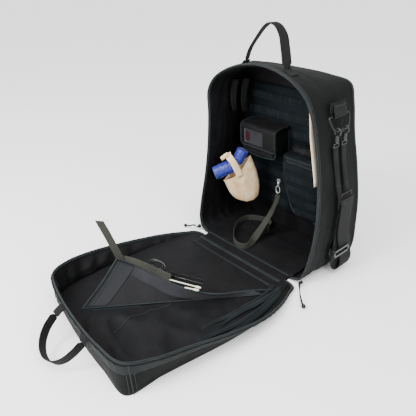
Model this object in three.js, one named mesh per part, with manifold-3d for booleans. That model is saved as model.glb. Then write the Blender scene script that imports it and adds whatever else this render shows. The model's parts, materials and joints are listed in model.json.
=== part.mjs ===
// Trauma backpack, standing open: a soft case whose whole front is a zipped lid that folds down to the floor.
// Millimetres, +Z up. +X is the wearer's right when the bag is worn, and the lid opens towards -Y.
// The origin is on the floor, under the middle of the bottom panel.
import * as THREE from "three";
import { mergeVertices } from "three/addons/utils/BufferGeometryUtils.js";
import Module from "manifold-3d";

const wasm = await Module();
wasm.setup();

// ---- driving dimensions -------------------------------------------------------------------------
const HINGE_Y = -120; // the fold between bottom panel and lid
const RIM_TOP = 569; // highest point of the case opening
const DEPTH = 245; // hinge to back panel, at the floor
const RIM_LEAN = 0.0643; // the opening leans back by this much for each unit of height
const BACK_LEAN = -0.0714; // the back panel leans forward by this much for each unit of height
const RIM_SETBACK = 9; // hinge line to the foot of the opening
const PANEL = 4; // padded fabric wall
const BINDING_R = 3.9; // zip tape and piping along each rim
const GAP = 0.5; // clearance between neighbouring pieces
const WEBBING = 25; // common webbing width
const WEB_THICK = 2.4;
const LID_RISE = 0.1464; // the lid rim climbs by this much for each unit away from the hinge
const LID_RIM_FOOT = 8; // height of the lid rim at the hinge
const LID_LENGTH = 562; // hinge to the outer face of the lid's end wall, at the floor

const backY = (z) => DEPTH + BACK_LEAN * z;
const rimY = (z) => RIM_SETBACK + RIM_LEAN * z;
const lidRimZ = (reach) => LID_RIM_FOOT + LID_RISE * reach;

// ---- outlines, as (x, height) or (x, reach) from the left foot, over the top, to the right foot --
const CORNER = 46; // radius of the two zip corners at the hinge
const corner = (side, centreX, degrees) => {
  const a = THREE.MathUtils.degToRad(degrees);
  return [centreX + side * CORNER * Math.sin(a), CORNER - CORNER * Math.cos(a)];
};
const RIGHT_CORNER_X = 190;
const LEFT_CORNER_X = -154;
const CASE_RIM = [
  corner(-1, LEFT_CORNER_X, 0), corner(-1, LEFT_CORNER_X, 45), corner(-1, LEFT_CORNER_X, 90),
  [-197, 115], [-186, 200], [-180, 305], [-184, 400], [-191, 468], [-166, 512], [-92, 553],
  [0, RIM_TOP], [94, 552], [160, 512], [188, 468], [212, 400], [236, 305], [249, 200], [247, 115],
  corner(1, RIGHT_CORNER_X, 90), corner(1, RIGHT_CORNER_X, 45), corner(1, RIGHT_CORNER_X, 0),
];
const CASE_BACK = [
  [-180, 0], [-214, 14], [-227, 50], [-229, 115], [-227, 200], [-219, 305], [-208, 400], [-199, 480],
  [-184, 526], [-120, 538], [0, 541], [116, 538], [180, 526], [194, 480], [205, 400], [224, 305],
  [239, 200], [241, 115], [239, 50], [227, 14], [195, 0],
];
const LID_RIM = [
  corner(-1, LEFT_CORNER_X, 0), corner(-1, LEFT_CORNER_X, 45), [-202, 50], [-222, 115], [-234, 190],
  [-242, 290], [-240, 390], [-225, 460], [-190, 516], [-120, 543], [10, 566], [130, 573], [206, 562],
  [236, 500], [253, 400], [272, 290], [276, 190], [262, 115], [238, 50],
  corner(1, RIGHT_CORNER_X, 45), corner(1, RIGHT_CORNER_X, 0),
];
const LID_FLOOR = [
  [-150, 1.5], [-186, 12], [-200, 50], [-210, 115], [-217, 190], [-220, 290], [-216, 390], [-209, 468],
  [-188, 516], [-120, 532], [10, 552], [130, 561], [214, LID_LENGTH], [222, 480], [234, 390],
  [247, 290], [251, 190], [239, 115], [220, 50], [208, 12], [186, 1.5],
];
const FIRST = 0;
const LEFT_TOP = 7; // where the left wall meets the top
const RIGHT_TOP = 13; // where the top meets the right wall
const LAST = 20;
const LID_WALL_FIRST = 4; // the lid walls fade into the floor nearer the hinge than this
const LID_WALL_LAST = 16;
const LID_LEFT_END = 8;
const LID_RIGHT_END = 12;

const spline = (points) =>
  new THREE.CatmullRomCurve3(points.map(([x, z]) => new THREE.Vector3(x, 0, z)), false, "centripetal");
const at = (curve, index) => {
  const p = curve.getPoint(THREE.MathUtils.clamp(index / LAST, 0, 1));
  return [p.x, p.z];
};
const caseRim = spline(CASE_RIM);
const caseBack = spline(CASE_BACK);
const lidRim = spline(LID_RIM);
const lidFloor = spline(LID_FLOOR);

// ---- shape helpers ------------------------------------------------------------------------------
const mix = THREE.MathUtils.lerp;

// A segmented block whose corners (u, v, w), each 0 to 1, are sent to new places: one closed bent solid.
function bentBlock(place, nu, nv = 1, nw = 1) {
  const g = new THREE.BoxGeometry(1, 1, 1, nu, nv, nw);
  const p = g.attributes.position;
  for (let i = 0; i < p.count; i++) {
    p.setXYZ(i, ...place(p.getX(i) + 0.5, p.getY(i) + 0.5, p.getZ(i) + 0.5));
  }
  return facingOut(g);
}

// Turns every triangle round where the solid came out inside out.
function facingOut(g) {
  const p = g.attributes.position;
  const index = g.index.array;
  const [a, b, c] = [new THREE.Vector3(), new THREE.Vector3(), new THREE.Vector3()];
  let volume = 0;
  for (let i = 0; i < index.length; i += 3) {
    a.fromBufferAttribute(p, index[i]);
    b.fromBufferAttribute(p, index[i + 1]);
    c.fromBufferAttribute(p, index[i + 2]);
    volume += a.dot(b.cross(c));
  }
  if (volume < 0) {
    for (let i = 0; i < index.length; i += 3) [index[i], index[i + 1]] = [index[i + 1], index[i]];
  }
  return g;
}

// A sheet of fabric: surface(u, v) is its outer face, and the thickness goes inwards along the normal.
function fabric(surface, thickness, nu, nv) {
  const STEP = 0.01;
  const inside = (t) => THREE.MathUtils.clamp(t, STEP, 1 - STEP);
  const normal = (u, v) => {
    const d = (du, dv) => new THREE.Vector3(...surface(inside(u) + du, inside(v) + dv));
    const along = d(STEP, 0).sub(d(-STEP, 0));
    const across = d(0, STEP).sub(d(0, -STEP));
    return along.cross(across).normalize();
  };
  return bentBlock((u, v, w) => {
    const p = new THREE.Vector3(...surface(u, v));
    return p.addScaledVector(normal(u, v), w * thickness).toArray();
  }, nu, nv);
}

// A flat strap that follows points, its width along one direction and its thickness across the other.
// Width and across can also be functions of the share of the way along, and across of the tangent too.
function strap(points, width, across, thickness = WEB_THICK, steps = points.length * 4) {
  const curve = new THREE.CatmullRomCurve3(points.map((p) => new THREE.Vector3(...p)), false, "centripetal");
  const value = (setting, ...details) => (typeof setting === "function" ? setting(...details) : setting);
  return bentBlock((u, v, w) => {
    const tangent = curve.getTangent(u);
    const wide = new THREE.Vector3(...value(across, u, tangent)).normalize();
    const thin = new THREE.Vector3().crossVectors(tangent, wide).normalize();
    const p = curve.getPoint(u).addScaledVector(wide, (v - 0.5) * value(width, u));
    return p.addScaledVector(thin, (w - 0.5) * thickness).toArray();
  }, steps);
}

// A round cord or bead that follows points.
function rope(points, radius, steps, sides = 8) {
  const curve = new THREE.CatmullRomCurve3(points.map((p) => new THREE.Vector3(...p)), false, "centripetal");
  const section = new THREE.Shape();
  for (let i = 0; i < sides; i++) {
    const a = (i / sides) * 2 * Math.PI;
    const [x, y] = [radius * Math.cos(a), radius * Math.sin(a)];
    if (i) section.lineTo(x, y);
    else section.moveTo(x, y);
  }
  section.closePath();
  return new THREE.ExtrudeGeometry(section, { steps, extrudePath: curve, bevelEnabled: false });
}

const outline = (points) => new THREE.Shape(points.map(([x, y]) => new THREE.Vector2(x, y)));

// A plate in the X-Z plane, from y = front to y = front + depth.
function plate(shape, front, depth, curveSegments = 4) {
  const g = new THREE.ExtrudeGeometry(shape, { depth, bevelEnabled: false, curveSegments });
  return g.rotateX(Math.PI / 2).translate(0, front + depth, 0);
}

function roundedRectangle(x0, x1, z0, z1, r) {
  const s = new THREE.Shape();
  s.moveTo(x0 + r, z0).lineTo(x1 - r, z0);
  s.absarc(x1 - r, z0 + r, r, -Math.PI / 2, 0, false);
  s.lineTo(x1, z1 - r).absarc(x1 - r, z1 - r, r, 0, Math.PI / 2, false);
  s.lineTo(x0 + r, z1).absarc(x0 + r, z1 - r, r, Math.PI / 2, Math.PI, false);
  s.lineTo(x0, z0 + r).absarc(x0 + r, z0 + r, r, Math.PI, 1.5 * Math.PI, false);
  return s;
}

const block = (x, y, z) => new THREE.BoxGeometry(x, y, z);

// A closed geometry as a manifold-3d solid, for the few pieces that need a hole or a join.
function solid(geometry) {
  const bare = geometry.clone().deleteAttribute("normal").deleteAttribute("uv");
  const merged = mergeVertices(bare.index ? bare.toNonIndexed() : bare, 1e-3);
  const mesh = new wasm.Mesh({
    numProp: 3,
    vertProperties: merged.attributes.position.array,
    triVerts: new Uint32Array(merged.index.array),
  });
  return new wasm.Manifold(mesh);
}

function geometryOf(manifold) {
  const mesh = manifold.getMesh();
  const g = new THREE.BufferGeometry();
  g.setAttribute("position", new THREE.BufferAttribute(mesh.vertProperties, 3));
  g.setIndex(new THREE.BufferAttribute(mesh.triVerts, 1));
  g.computeVertexNormals();
  return g;
}

// ---- materials ----------------------------------------------------------------------------------
const finish = (color, roughness, metalness = 0) =>
  new THREE.MeshStandardMaterial({ color, roughness, metalness });
const shellFabric = finish(0x17191a, 0.8);
const liningFabric = finish(0x141617, 0.7);
const tapeFabric = finish(0x2a3233, 0.75);
const molleFabric = finish(0x131a20, 0.75);
const webbing = finish(0x25272a, 0.8);
const oliveWebbing = finish(0x34362f, 0.8);
const foamFabric = finish(0x1b1d1e, 0.9);
const blackPlastic = finish(0x101112, 0.45);
const darkMetal = finish(0x3c3f40, 0.35, 0.9);
const paleMetal = finish(0xa9aba8, 0.3, 0.9);
const blueFilm = finish(0x2345b0, 0.45);
const beigeCloth = finish(0xd9c8ab, 0.85);
const tanCard = finish(0xd9c3a5, 0.85);
const whitePlastic = finish(0xdedccb, 0.5);
const cordFabric = finish(0x22251f, 0.85);

// ---- scene graph --------------------------------------------------------------------------------
const bag = new THREE.Group();
bag.position.y = HINGE_Y; // inside this group, y = 0 is the hinge line

function add(name, geometry, material, parent = bag) {
  const mesh = new THREE.Mesh(geometry, material);
  mesh.name = name;
  parent.add(mesh);
  return mesh;
}

// A frame that lies in the back panel: its z runs up the panel, and its y out through the panel.
const backFrame = new THREE.Group();
backFrame.position.y = DEPTH;
backFrame.rotation.x = -Math.atan(BACK_LEAN);
bag.add(backFrame);

// ---- case ---------------------------------------------------------------------------------------
const SEAM = 0.005; // share of an outline step left open between two walls

function caseWall(from, to) {
  return (u, v) => {
    const s = mix(from + SEAM, to - SEAM, u);
    const [x0, z0] = at(caseRim, s);
    const [x1, z1] = at(caseBack, s);
    const front = rimY(z0) + 2 * BINDING_R + GAP;
    return [mix(x0, x1, v), mix(front, backY(z1) - 1.2, v), mix(z0, z1, v)];
  };
}

function makeCase() {
  const walls = [
    ["left_side_panel", FIRST, LEFT_TOP, 26],
    ["top_panel", LEFT_TOP, RIGHT_TOP, 22],
    ["right_side_panel", RIGHT_TOP, LAST, 26],
  ];
  for (const [name, from, to, steps] of walls) {
    add(name, fabric(caseWall(from, to), -PANEL, steps, 3), shellFabric);
  }
  const INSET = 4; // the side walls turn under by this much at the floor
  add("bottom_panel", bentBlock((u, v, w) => {
    const x0 = mix(CASE_RIM[FIRST][0], CASE_BACK[FIRST][0], v) + INSET;
    const x1 = mix(CASE_RIM[LAST][0], CASE_BACK[LAST][0], v) - INSET;
    return [mix(x0, x1, u), mix(3, DEPTH - GAP, v), w * PANEL];
  }, 1, 1), shellFabric);
  const BACK_THICK = 7;
  add("back_panel", plate(outline(CASE_BACK), GAP, BACK_THICK), shellFabric, backFrame);
  const zipLine = [];
  for (let s = FIRST; s <= LAST; s += 0.5) {
    const [x, z] = at(caseRim, s);
    const [xa, za] = at(caseRim, Math.max(s - 0.05, 0));
    const [xb, zb] = at(caseRim, Math.min(s + 0.05, LAST));
    const inward = new THREE.Vector2(zb - za, xa - xb).normalize().multiplyScalar(BINDING_R + 0.3);
    zipLine.push([x + inward.x, rimY(z) + BINDING_R, z + inward.y]);
  }
  add("case_zip_tape", rope(zipLine, BINDING_R, 48, 6), tapeFabric);
}

// ---- lining and stowed kit inside the case ------------------------------------------------------
const MOLLE_FACE = -4.5; // front of the MOLLE panel, in front of the back panel

function makeMollePanel() {
  const edge = [[-190, 60], [200, 60], [196, 200], [180, 330], [158, 480], [-162, 480], [-186, 330]];
  add("molle_panel", plate(outline(edge), MOLLE_FACE, 3), molleFabric, backFrame);
}

const MEDICAL = { x0: -142, x1: -6, z0: 270, z1: 364, depth: 70 };
function makeMedicalPouch() {
  const { x0, x1, z0, z1, depth } = MEDICAL;
  const back = MOLLE_FACE - GAP;
  add("medical_pouch", plate(roundedRectangle(x0, x1, z0, z1, 10), back - depth, depth), liningFabric, backFrame);
  const THICK = 4.5;
  const LIP = 66; // how far the flap comes down the front
  const front = back - depth - 1;
  const under = [[back - GAP, z1 + GAP], [front, z1 + GAP], [front, z1 - 4], [front, z1 - LIP]];
  const over = [[back - GAP, z1 + THICK], [front, z1 + THICK], [front - THICK, z1 - 2], [front - THICK, z1 - LIP]];
  const flap = bentBlock((u, v, w) => {
    const [y, z] = (w > 0.5 ? over : under)[Math.round(v * 3)];
    return [mix(x0, x1, u), y, z];
  }, 1, 3);
  add("pouch_flap", flap, liningFabric, backFrame);
  const patch = plate(roundedRectangle(-128, -66, z1 - 58, z1 - 14, 3), front - THICK - 1.8, 1.4);
  add("flap_patch", patch, molleFabric, backFrame);
}

function makeUtilityPouch() {
  const back = MOLLE_FACE - GAP;
  const depth = 57;
  const edge = outline([[30, 150], [66, 106], [150, 96], [158, 110], [158, 300], [8, 300], [10, 210]]);
  add("utility_pouch", plate(edge, back - depth, depth), molleFabric, backFrame);
  const filling = new THREE.SphereGeometry(1, 12, 8).scale(58, 24, 17).translate(84, back - 31, 318);
  add("pouch_filling", filling, liningFabric, backFrame);
}

// The roll holder hangs turned towards the opening: its own x runs along its face and its y into it.
function makeRollHolder() {
  const holder = new THREE.Group();
  holder.position.set(-120, 110, 12);
  holder.rotation.z = Math.atan2(0.8, 0.6);
  bag.add(holder);
  const edge = new THREE.Shape();
  edge.moveTo(-46, 166).lineTo(-26, 130);
  edge.quadraticCurveTo(-2, 98, 28, 92).quadraticCurveTo(66, 94, 72, 124);
  edge.lineTo(62, 190).lineTo(36, 248).lineTo(26, 238).lineTo(-4, 186);
  add("roll_holder", plate(edge, -20, 38, 5), beigeCloth, holder);
  const roll = (name, x, z, length, radius, tilt) => {
    const g = new THREE.CylinderGeometry(radius, radius, length, 16).rotateX(Math.PI / 2).rotateY(tilt);
    g.translate(x, -2, z);
    add(name, g, blueFilm, holder);
  };
  roll("blue_roll_lower", -48, 206, 62, 22, 1.15);
  roll("blue_roll_upper", 4, 250, 46, 19, 0.45);
  const band = [[-31, -29, 262], [-26, -29.5, 250], [-4, -30, 214], [10, -24, 186]];
  add("roll_holder_strap", strap(band, 17, [0.86, 0, 0.5], 2.2), beigeCloth, holder);
}

function makeLooseKit() {
  add("splint_sheet", bentBlock((u, v, w) => {
    const z = mix(292, 486, v);
    const wall = at(caseRim, 13.2 + (1 - v) * 2.1)[0];
    return [wall - 24 + w * 3 - 5 * Math.sin(Math.PI * v), rimY(z) + 8 + mix(0, 92, u), z];
  }, 2, 8), tanCard);
  const hang = (name, x, y, foot) => {
    const path = [[x, y, 490], [x - 3, y - 5, 450], [x + 2, y - 8, foot + 30], [x + 4, y - 4, foot]];
    add(name, strap(path, 20, [0.75, 0.66, 0]), webbing);
  };
  hang("compression_strap_front", -168, 138, 392);
  hang("compression_strap_rear", -156, 172, 384);
  const hook = solid(new THREE.TorusGeometry(8, 2.2, 6, 16).scale(1, 1.6, 1).rotateX(Math.PI / 2).translate(0, 0, 13));
  const swivel = solid(new THREE.CylinderGeometry(4, 4, 22, 8).rotateX(Math.PI / 2).translate(0, 0, 34));
  const snap = geometryOf(hook.add(swivel)).translate(4, 164, 158);
  add("lanyard_hook", snap, paleMetal);
}

// A free webbing strap: from the lanyard hook it falls to the floor, then stands on edge in one open loop.
const LOOSE_STRAP = [
  [4, 166, 152], [2, 160, 126], [-3, 148, 94], [-8, 126, 62], [-9, 100, 38], [-5, 72, 24], [2, 46, 19],
  [2, 26, 17.5], [-14, 15, 17.5], [-42, 22, 17.5], [-74, 50, 17.5], [-104, 88, 17.5], [-122, 130, 17.5],
  [-118, 168, 17.5], [-88, 192, 17.5], [-56, 200, 17.5], [-32, 188, 17.5], [-22, 162, 17.5],
];

function makeLooseStrap() {
  const WIDTH = 22;
  const onEdge = (u, t) => {
    const turn = THREE.MathUtils.smoothstep(u, 0.18, 0.42) * Math.PI / 2;
    const level = new THREE.Vector2(t.y, -t.x).normalize().multiplyScalar(Math.cos(turn));
    return [level.x, level.y, Math.sin(turn)];
  };
  add("loose_strap", strap(LOOSE_STRAP, WIDTH, onEdge, WEB_THICK, 48), oliveWebbing);
  const buckle = roundedRectangle(-14, 14, -12, 12, 3);
  const ladder = new THREE.ExtrudeGeometry(buckle, { depth: 5, bevelEnabled: false, curveSegments: 3 });
  add("loose_strap_buckle", ladder.rotateX(Math.PI / 2).rotateZ(1.2).translate(-18, 142, 17.5), blackPlastic);
}

// ---- carrying gear outside the case -------------------------------------------------------------
const ARCH_STEPS = 12;
const arch = (halfSpan, rise) => Array.from({ length: ARCH_STEPS + 1 }, (_, i) => {
  const a = (i / ARCH_STEPS) * Math.PI;
  return [-halfSpan * Math.cos(a), 0, rise * Math.sin(a) ** 0.8];
});
const archWidth = (u) => mix(9, WEBBING, THREE.MathUtils.smoothstep(Math.min(u, 1 - u), 0, 0.07));

function makeHandles() {
  const top = new THREE.Group();
  top.position.set(0, 78, 564.5);
  bag.add(top);
  add("top_handle", strap(arch(70, 104), archWidth, [0, 1, 0], 3, 28), webbing, top);
  const end = new THREE.Group();
  end.position.set(17, -LID_LENGTH - 18, 66);
  end.rotation.x = Math.PI / 2 + 0.62;
  bag.add(end);
  add("lid_handle", strap(arch(64, 80), archWidth, [0, 1, 0], 3, 28), webbing, end);
}

const RING = { y: 128, z: 462 }; // where the side rings hang, on each side wall
const wallX = (side, y, z) => {
  const v = y / DEPTH;
  return side > 0 ? mix(194, 196, v) + (468 - z) * 0.3 : mix(-191, -200, v) - (468 - z) * 0.05;
};

// The ring hangs from a bar in a webbing loop, and its foot stands out from the wall by tilt.
function makeSideRing(side, name, tilt) {
  const x = wallX(side, RING.y, RING.z) + side * 9;
  const anchor = new THREE.Group();
  anchor.position.set(x, RING.y, RING.z);
  anchor.scale.x = side;
  bag.add(anchor);
  const loop = roundedRectangle(-5.5, 8, -6, 30, 3);
  const hole = new THREE.Path();
  hole.absarc(1.5, 0, 3.4, 0, 2 * Math.PI, true);
  loop.holes.push(hole);
  const eye = new THREE.ExtrudeGeometry(loop, { depth: 56, bevelEnabled: false, curveSegments: 4 });
  add("ring_anchor_" + name, eye.rotateX(Math.PI / 2).translate(0, 28, 0), webbing, anchor);
  const R = 2.6;
  const bar = solid(new THREE.CylinderGeometry(R, R, 84, 8).translate(1.5, 0, 0));
  const leg = (s) => {
    const plan = [[42, 0], [41.5, -10], [35, -27], [24, -33.6], [12, -34], [0, -34]];
    const path = plan.map(([y, z]) => [1.5 - tilt * z, s * y, z]);
    const g = rope(path, R, 9);
    return solid(g);
  };
  const ring = bar.add(leg(1)).add(leg(-1)).add(solid(block(6, 4, 6).translate(1.5 + tilt * 34, 0, -34)));
  add("side_ring_" + name, geometryOf(ring), darkMetal, anchor);
  return anchor;
}

const SLING_X = 53; // how far the sling hangs out from its ring's frame at the widest part of the case
function makeSling(anchor) {
  const hook = (name, y) => {
    const gate = solid(new THREE.TorusGeometry(9, 2.4, 6, 14).rotateX(Math.PI / 2));
    const barrel = solid(new THREE.CylinderGeometry(5, 5, 24, 8).rotateX(Math.PI / 2).translate(0, 0, -20));
    const foot = solid(block(5, 22, 8).translate(0, 0, -34));
    add(name, geometryOf(gate.add(barrel).add(foot)).translate(15.4, y, -37.2), blackPlastic, anchor);
  };
  hook("snap_hook_front", -19);
  hook("snap_hook_rear", 17);
  const web = (name, y) => {
    const path = [[15.4, y, -77], [25, y, -130], [40, y, -180], [SLING_X, y, -228]];
    add(name, strap(path, 20, [0, 1, 0], 4), webbing, anchor);
  };
  web("sling_web_front", -19);
  web("sling_web_rear", 17);
  const LAYER = 3.75; // half the distance between the two layers of the doubled strap
  const MIDDLE = SLING_X + 1;
  const front = [-232, -290, -350, -404].map((z) => [MIDDLE - LAYER, 6, z]);
  const turn = [[MIDDLE - 7, 6, -430], [MIDDLE, 6, -446], [MIDDLE + 7, 6, -430]];
  const rear = [-404, -350, -290, -232].map((z) => [MIDDLE + LAYER, 6, z]);
  const fold = [...front, ...turn, ...rear];
  add("sling_strap", strap(fold, 58, [0, 1, 0], 4.5, 30), webbing, anchor);
  const frame = roundedRectangle(-36, 36, -11.5, 11.5, 4);
  const slot = new THREE.Path();
  slot.moveTo(-31.5, -7.5).lineTo(-31.5, 7.5).lineTo(31.5, 7.5).lineTo(31.5, -7.5);
  frame.holes.push(slot);
  const glide = new THREE.ExtrudeGeometry(frame, { depth: 10, bevelEnabled: false, curveSegments: 3 });
  add("sling_triglide", glide.rotateZ(Math.PI / 2).translate(MIDDLE, 6, -386), blackPlastic, anchor);
}

function makeHarness() {
  const yokeShape = roundedRectangle(-92, 92, 462, 524, 16);
  add("shoulder_yoke", plate(yokeShape, 8, 9), foamFabric, backFrame);
  for (const [name, side] of [["left", -1], ["right", 1]]) {
    const pad = [[side * 54, 14, 450], [side * 62, 25, 418], [side * 84, 34, 340], [side * 104, 30, 250], [side * 118, 16, 176]];
    add("shoulder_strap_" + name, strap(pad, 58, [1, 0, side * 0.2], 11, 16), foamFabric, backFrame);
    const web = [[side * 124, 13, 148], [side * 136, 12.5, 110], [side * 152, 11, 66], [side * 164, 9.6, 34]];
    add("strap_web_" + name, strap(web, WEBBING, [1, 0, side * 0.35], WEB_THICK, 10), webbing, backFrame);
    const buckle = roundedRectangle(-18, 18, -10, 10, 3);
    const ladder = plate(buckle, 10, 7, 3).rotateY(-side * 0.3).translate(side * 120, 0, 162);
    add("strap_adjuster_" + name, ladder, blackPlastic, backFrame);
  }
}

// ---- zip sliders and their cord pulls -----------------------------------------------------------
function makeZipPull(side, name) {
  const centreX = side > 0 ? RIGHT_CORNER_X : LEFT_CORNER_X;
  const a = THREE.MathUtils.degToRad(side > 0 ? 48 : 52);
  const out = [side * Math.sin(a), -Math.cos(a)];
  const reach = CORNER + 6;
  const place = (r, y) => [centreX + out[0] * r, y, CORNER + out[1] * r];
  const body = new THREE.ExtrudeGeometry(roundedRectangle(-9, 9, -7, 7, 3), { depth: 6, bevelEnabled: false, curveSegments: 3 });
  body.translate(0, 0, -3);
  const slider = new THREE.Group();
  const [x, y, z] = place(reach, RIM_SETBACK - 1);
  slider.position.set(x, y, z);
  slider.rotation.y = -Math.atan2(out[1], out[0]) + Math.PI / 2;
  slider.rotation.order = "YXZ";
  bag.add(slider);
  add("zip_slider_" + name, body, darkMetal, slider);
  const f = side;
  const start = [x + f * 4.4, y - 10.5, z + 3];
  const knot = side > 0 ? [292, -62, 7.5] : [-238, -15, 7.5];
  const lerpTo = (t, dz, dy) => [mix(start[0], knot[0], t), mix(start[1], knot[1], t) + dy, mix(start[2], knot[2], t) + dz];
  const end = side > 0 ? 0.92 : 0.85;
  const loop = [
    start, lerpTo(0.2, 4, -2), lerpTo(0.45, 2, -4), lerpTo(0.7, 0, -3), lerpTo(end, 0, -1),
  ];
  add("zip_cord_" + name, rope(loop, 1.5, 16), cordFabric);
  const bead = new THREE.SphereGeometry(5, 8, 6).scale(1.25, 1, 0.9);
  add("zip_knot_" + name, bead.translate(knot[0] + f * 1.5, knot[1], knot[2]), cordFabric);
}

// ---- lid ----------------------------------------------------------------------------------------
function lidWall(from, to) {
  return (u, v) => {
    const s = mix(from + SEAM, to - SEAM, u);
    const [x0, r0] = at(lidFloor, s);
    const [x1, r1] = at(lidRim, s);
    const top = lidRimZ(r1) - 2 * BINDING_R - GAP;
    return [mix(x0, x1, v), -mix(r0, r1, v), mix(PANEL + GAP, top, v)];
  };
}

function makeLid() {
  const face = outline(Array.from({ length: 41 }, (_, i) => at(lidFloor, i / 2)));
  const faceSolid = new THREE.ExtrudeGeometry(face, { depth: PANEL, bevelEnabled: false });
  add("lid_face_panel", faceSolid.rotateX(Math.PI).translate(0, 0, PANEL), shellFabric);
  const walls = [
    ["lid_left_side", LID_WALL_FIRST, LID_LEFT_END, 16],
    ["lid_end_panel", LID_LEFT_END, LID_RIGHT_END, 16],
    ["lid_right_side", LID_RIGHT_END, LID_WALL_LAST, 16],
  ];
  for (const [name, from, to, steps] of walls) {
    add(name, fabric(lidWall(from, to), PANEL, steps, 2), shellFabric);
  }
  const zipLine = [];
  for (let s = FIRST; s <= LAST; s += 0.5) {
    const [x, reach] = at(lidRim, s);
    const [xa, ra] = at(lidRim, Math.max(s - 0.05, 0));
    const [xb, rb] = at(lidRim, Math.min(s + 0.05, LAST));
    const inward = new THREE.Vector2(rb - ra, xa - xb).normalize().multiplyScalar(BINDING_R + 0.3);
    const edge = Math.max(reach + inward.y, BINDING_R + 1.5);
    zipLine.push([x + inward.x, -edge, Math.max(lidRimZ(edge) - BINDING_R, PANEL + GAP + BINDING_R)]);
  }
  add("lid_zip_tape", rope(zipLine, BINDING_R, 48, 6), tapeFabric);
  add("hinge_tape", block(330, 30, 1.6).translate(14, -34, PANEL + 1.3), tapeFabric);
}

// The organiser flap stands up from the lid's floor along a slanting fold and droops towards the hinge.
const FOLD_A = [-88, -494, 7.5];
const FOLD_B = [196, -96, 7.5];
const MOUTH = [
  [-119, -359, 88], [-84, -332, 74], [-36, -314, 64], [24, -290, 52], [80, -262, 41], [124, -218, 32], [152, -160, 24],
  [172, -112, 17],
];
const mouthLine = new THREE.CatmullRomCurve3(MOUTH.map((p) => new THREE.Vector3(...p)), false, "centripetal");
const flapPoint = (u, v) => {
  const top = mouthLine.getPoint(u);
  const sag = 6 * Math.sin(Math.PI * v) * (1 - u);
  return [mix(mix(FOLD_A[0], FOLD_B[0], u), top.x, v), mix(mix(FOLD_A[1], FOLD_B[1], u), top.y, v),
    mix(FOLD_A[2], top.z, v) - sag];
};

function makeOrganiser() {
  add("organiser_flap", fabric(flapPoint, 3, 18, 3), liningFabric);
  const tab = [[-124, -352, 92], [-138, -358, 125], [-152, -366, 160], [-166, -374, 194]];
  add("flap_pull_tab", strap(tab, WEBBING, [0.8, 0.6, 0], WEB_THICK, 8), oliveWebbing);
  const behind = (x, y, z) => [x - 9, y + 12, z];
  const comb = block(96, 3, 24).rotateZ(0.42).translate(...behind(60, -266, 60));
  add("comb", comb, blackPlastic);
  const rod = (name, x, y, z, length, turn) => {
    const g = new THREE.CylinderGeometry(3, 3, length, 8).rotateZ(-Math.PI / 2).rotateZ(turn);
    add(name, g.translate(...behind(x, y, z)), whitePlastic);
  };
  rod("swab_long", 66, -278, 53, 92, 0.42);
  rod("swab_short", 92, -277, 50, 40, 0.5);
  const bow = new THREE.TorusGeometry(17, 3, 6, 16).scale(1.35, 0.75, 1).rotateX(1.2).rotateZ(0.35);
  add("trauma_shears", bow.translate(...behind(-32, -290, 66)), blackPlastic);
}

makeCase();
makeMollePanel();
makeMedicalPouch();
makeUtilityPouch();
makeRollHolder();
makeLooseKit();
makeLooseStrap();
makeHandles();
makeSling(makeSideRing(1, "right", 0.39));
makeSideRing(-1, "left", 0.03);
makeHarness();
makeZipPull(1, "right");
makeZipPull(-1, "left");
makeLid();
makeOrganiser();

export default bag;
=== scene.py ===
"""Trauma backpack standing open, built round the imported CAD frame.

Design coordinates are the part's own: millimetres, y measured from the hinge line between bag and lid.
"""
import json
import math

import bmesh
import bpy
import numpy as np
from mathutils import Matrix, Vector, noise
from mathutils.bvhtree import BVHTree

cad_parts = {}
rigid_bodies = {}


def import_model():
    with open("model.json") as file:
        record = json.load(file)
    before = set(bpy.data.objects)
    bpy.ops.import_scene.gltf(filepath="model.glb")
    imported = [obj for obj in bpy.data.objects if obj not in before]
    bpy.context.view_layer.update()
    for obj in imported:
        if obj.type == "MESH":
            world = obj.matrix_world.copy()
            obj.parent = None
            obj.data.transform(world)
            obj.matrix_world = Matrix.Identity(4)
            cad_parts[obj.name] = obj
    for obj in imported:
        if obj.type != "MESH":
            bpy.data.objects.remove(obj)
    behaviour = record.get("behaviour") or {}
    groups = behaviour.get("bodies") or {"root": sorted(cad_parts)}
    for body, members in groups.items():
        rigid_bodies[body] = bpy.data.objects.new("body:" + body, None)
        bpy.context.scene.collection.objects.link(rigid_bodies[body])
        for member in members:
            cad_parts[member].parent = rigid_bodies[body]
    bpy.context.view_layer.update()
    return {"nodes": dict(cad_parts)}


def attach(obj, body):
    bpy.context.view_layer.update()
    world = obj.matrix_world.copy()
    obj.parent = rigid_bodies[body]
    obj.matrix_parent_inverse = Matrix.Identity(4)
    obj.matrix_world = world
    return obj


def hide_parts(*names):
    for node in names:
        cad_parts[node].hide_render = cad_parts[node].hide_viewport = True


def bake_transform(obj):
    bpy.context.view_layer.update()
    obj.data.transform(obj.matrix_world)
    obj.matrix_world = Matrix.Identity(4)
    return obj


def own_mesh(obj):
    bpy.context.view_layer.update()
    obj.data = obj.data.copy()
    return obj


for leftover in list(bpy.data.objects):
    bpy.data.objects.remove(leftover)
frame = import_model()

# ---- driving dimensions, as in the part ---------------------------------------------------------
MM = 0.001
HINGE_Y = -120
DEPTH = 245
RIM_LEAN = 0.0643
BACK_LEAN = 0.0714
RIM_SETBACK = 9
LID_RISE = 0.1464
LID_RIM_FOOT = 8
WEBBING = 25
CORNER = 46
RIGHT_CORNER_X = 190
LEFT_CORNER_X = -154
LAST = 20  # the outlines' last index


def corner(side, centre_x, degrees):
    a = math.radians(degrees)
    return (centre_x + side * CORNER * math.sin(a), CORNER - CORNER * math.cos(a))


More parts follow.
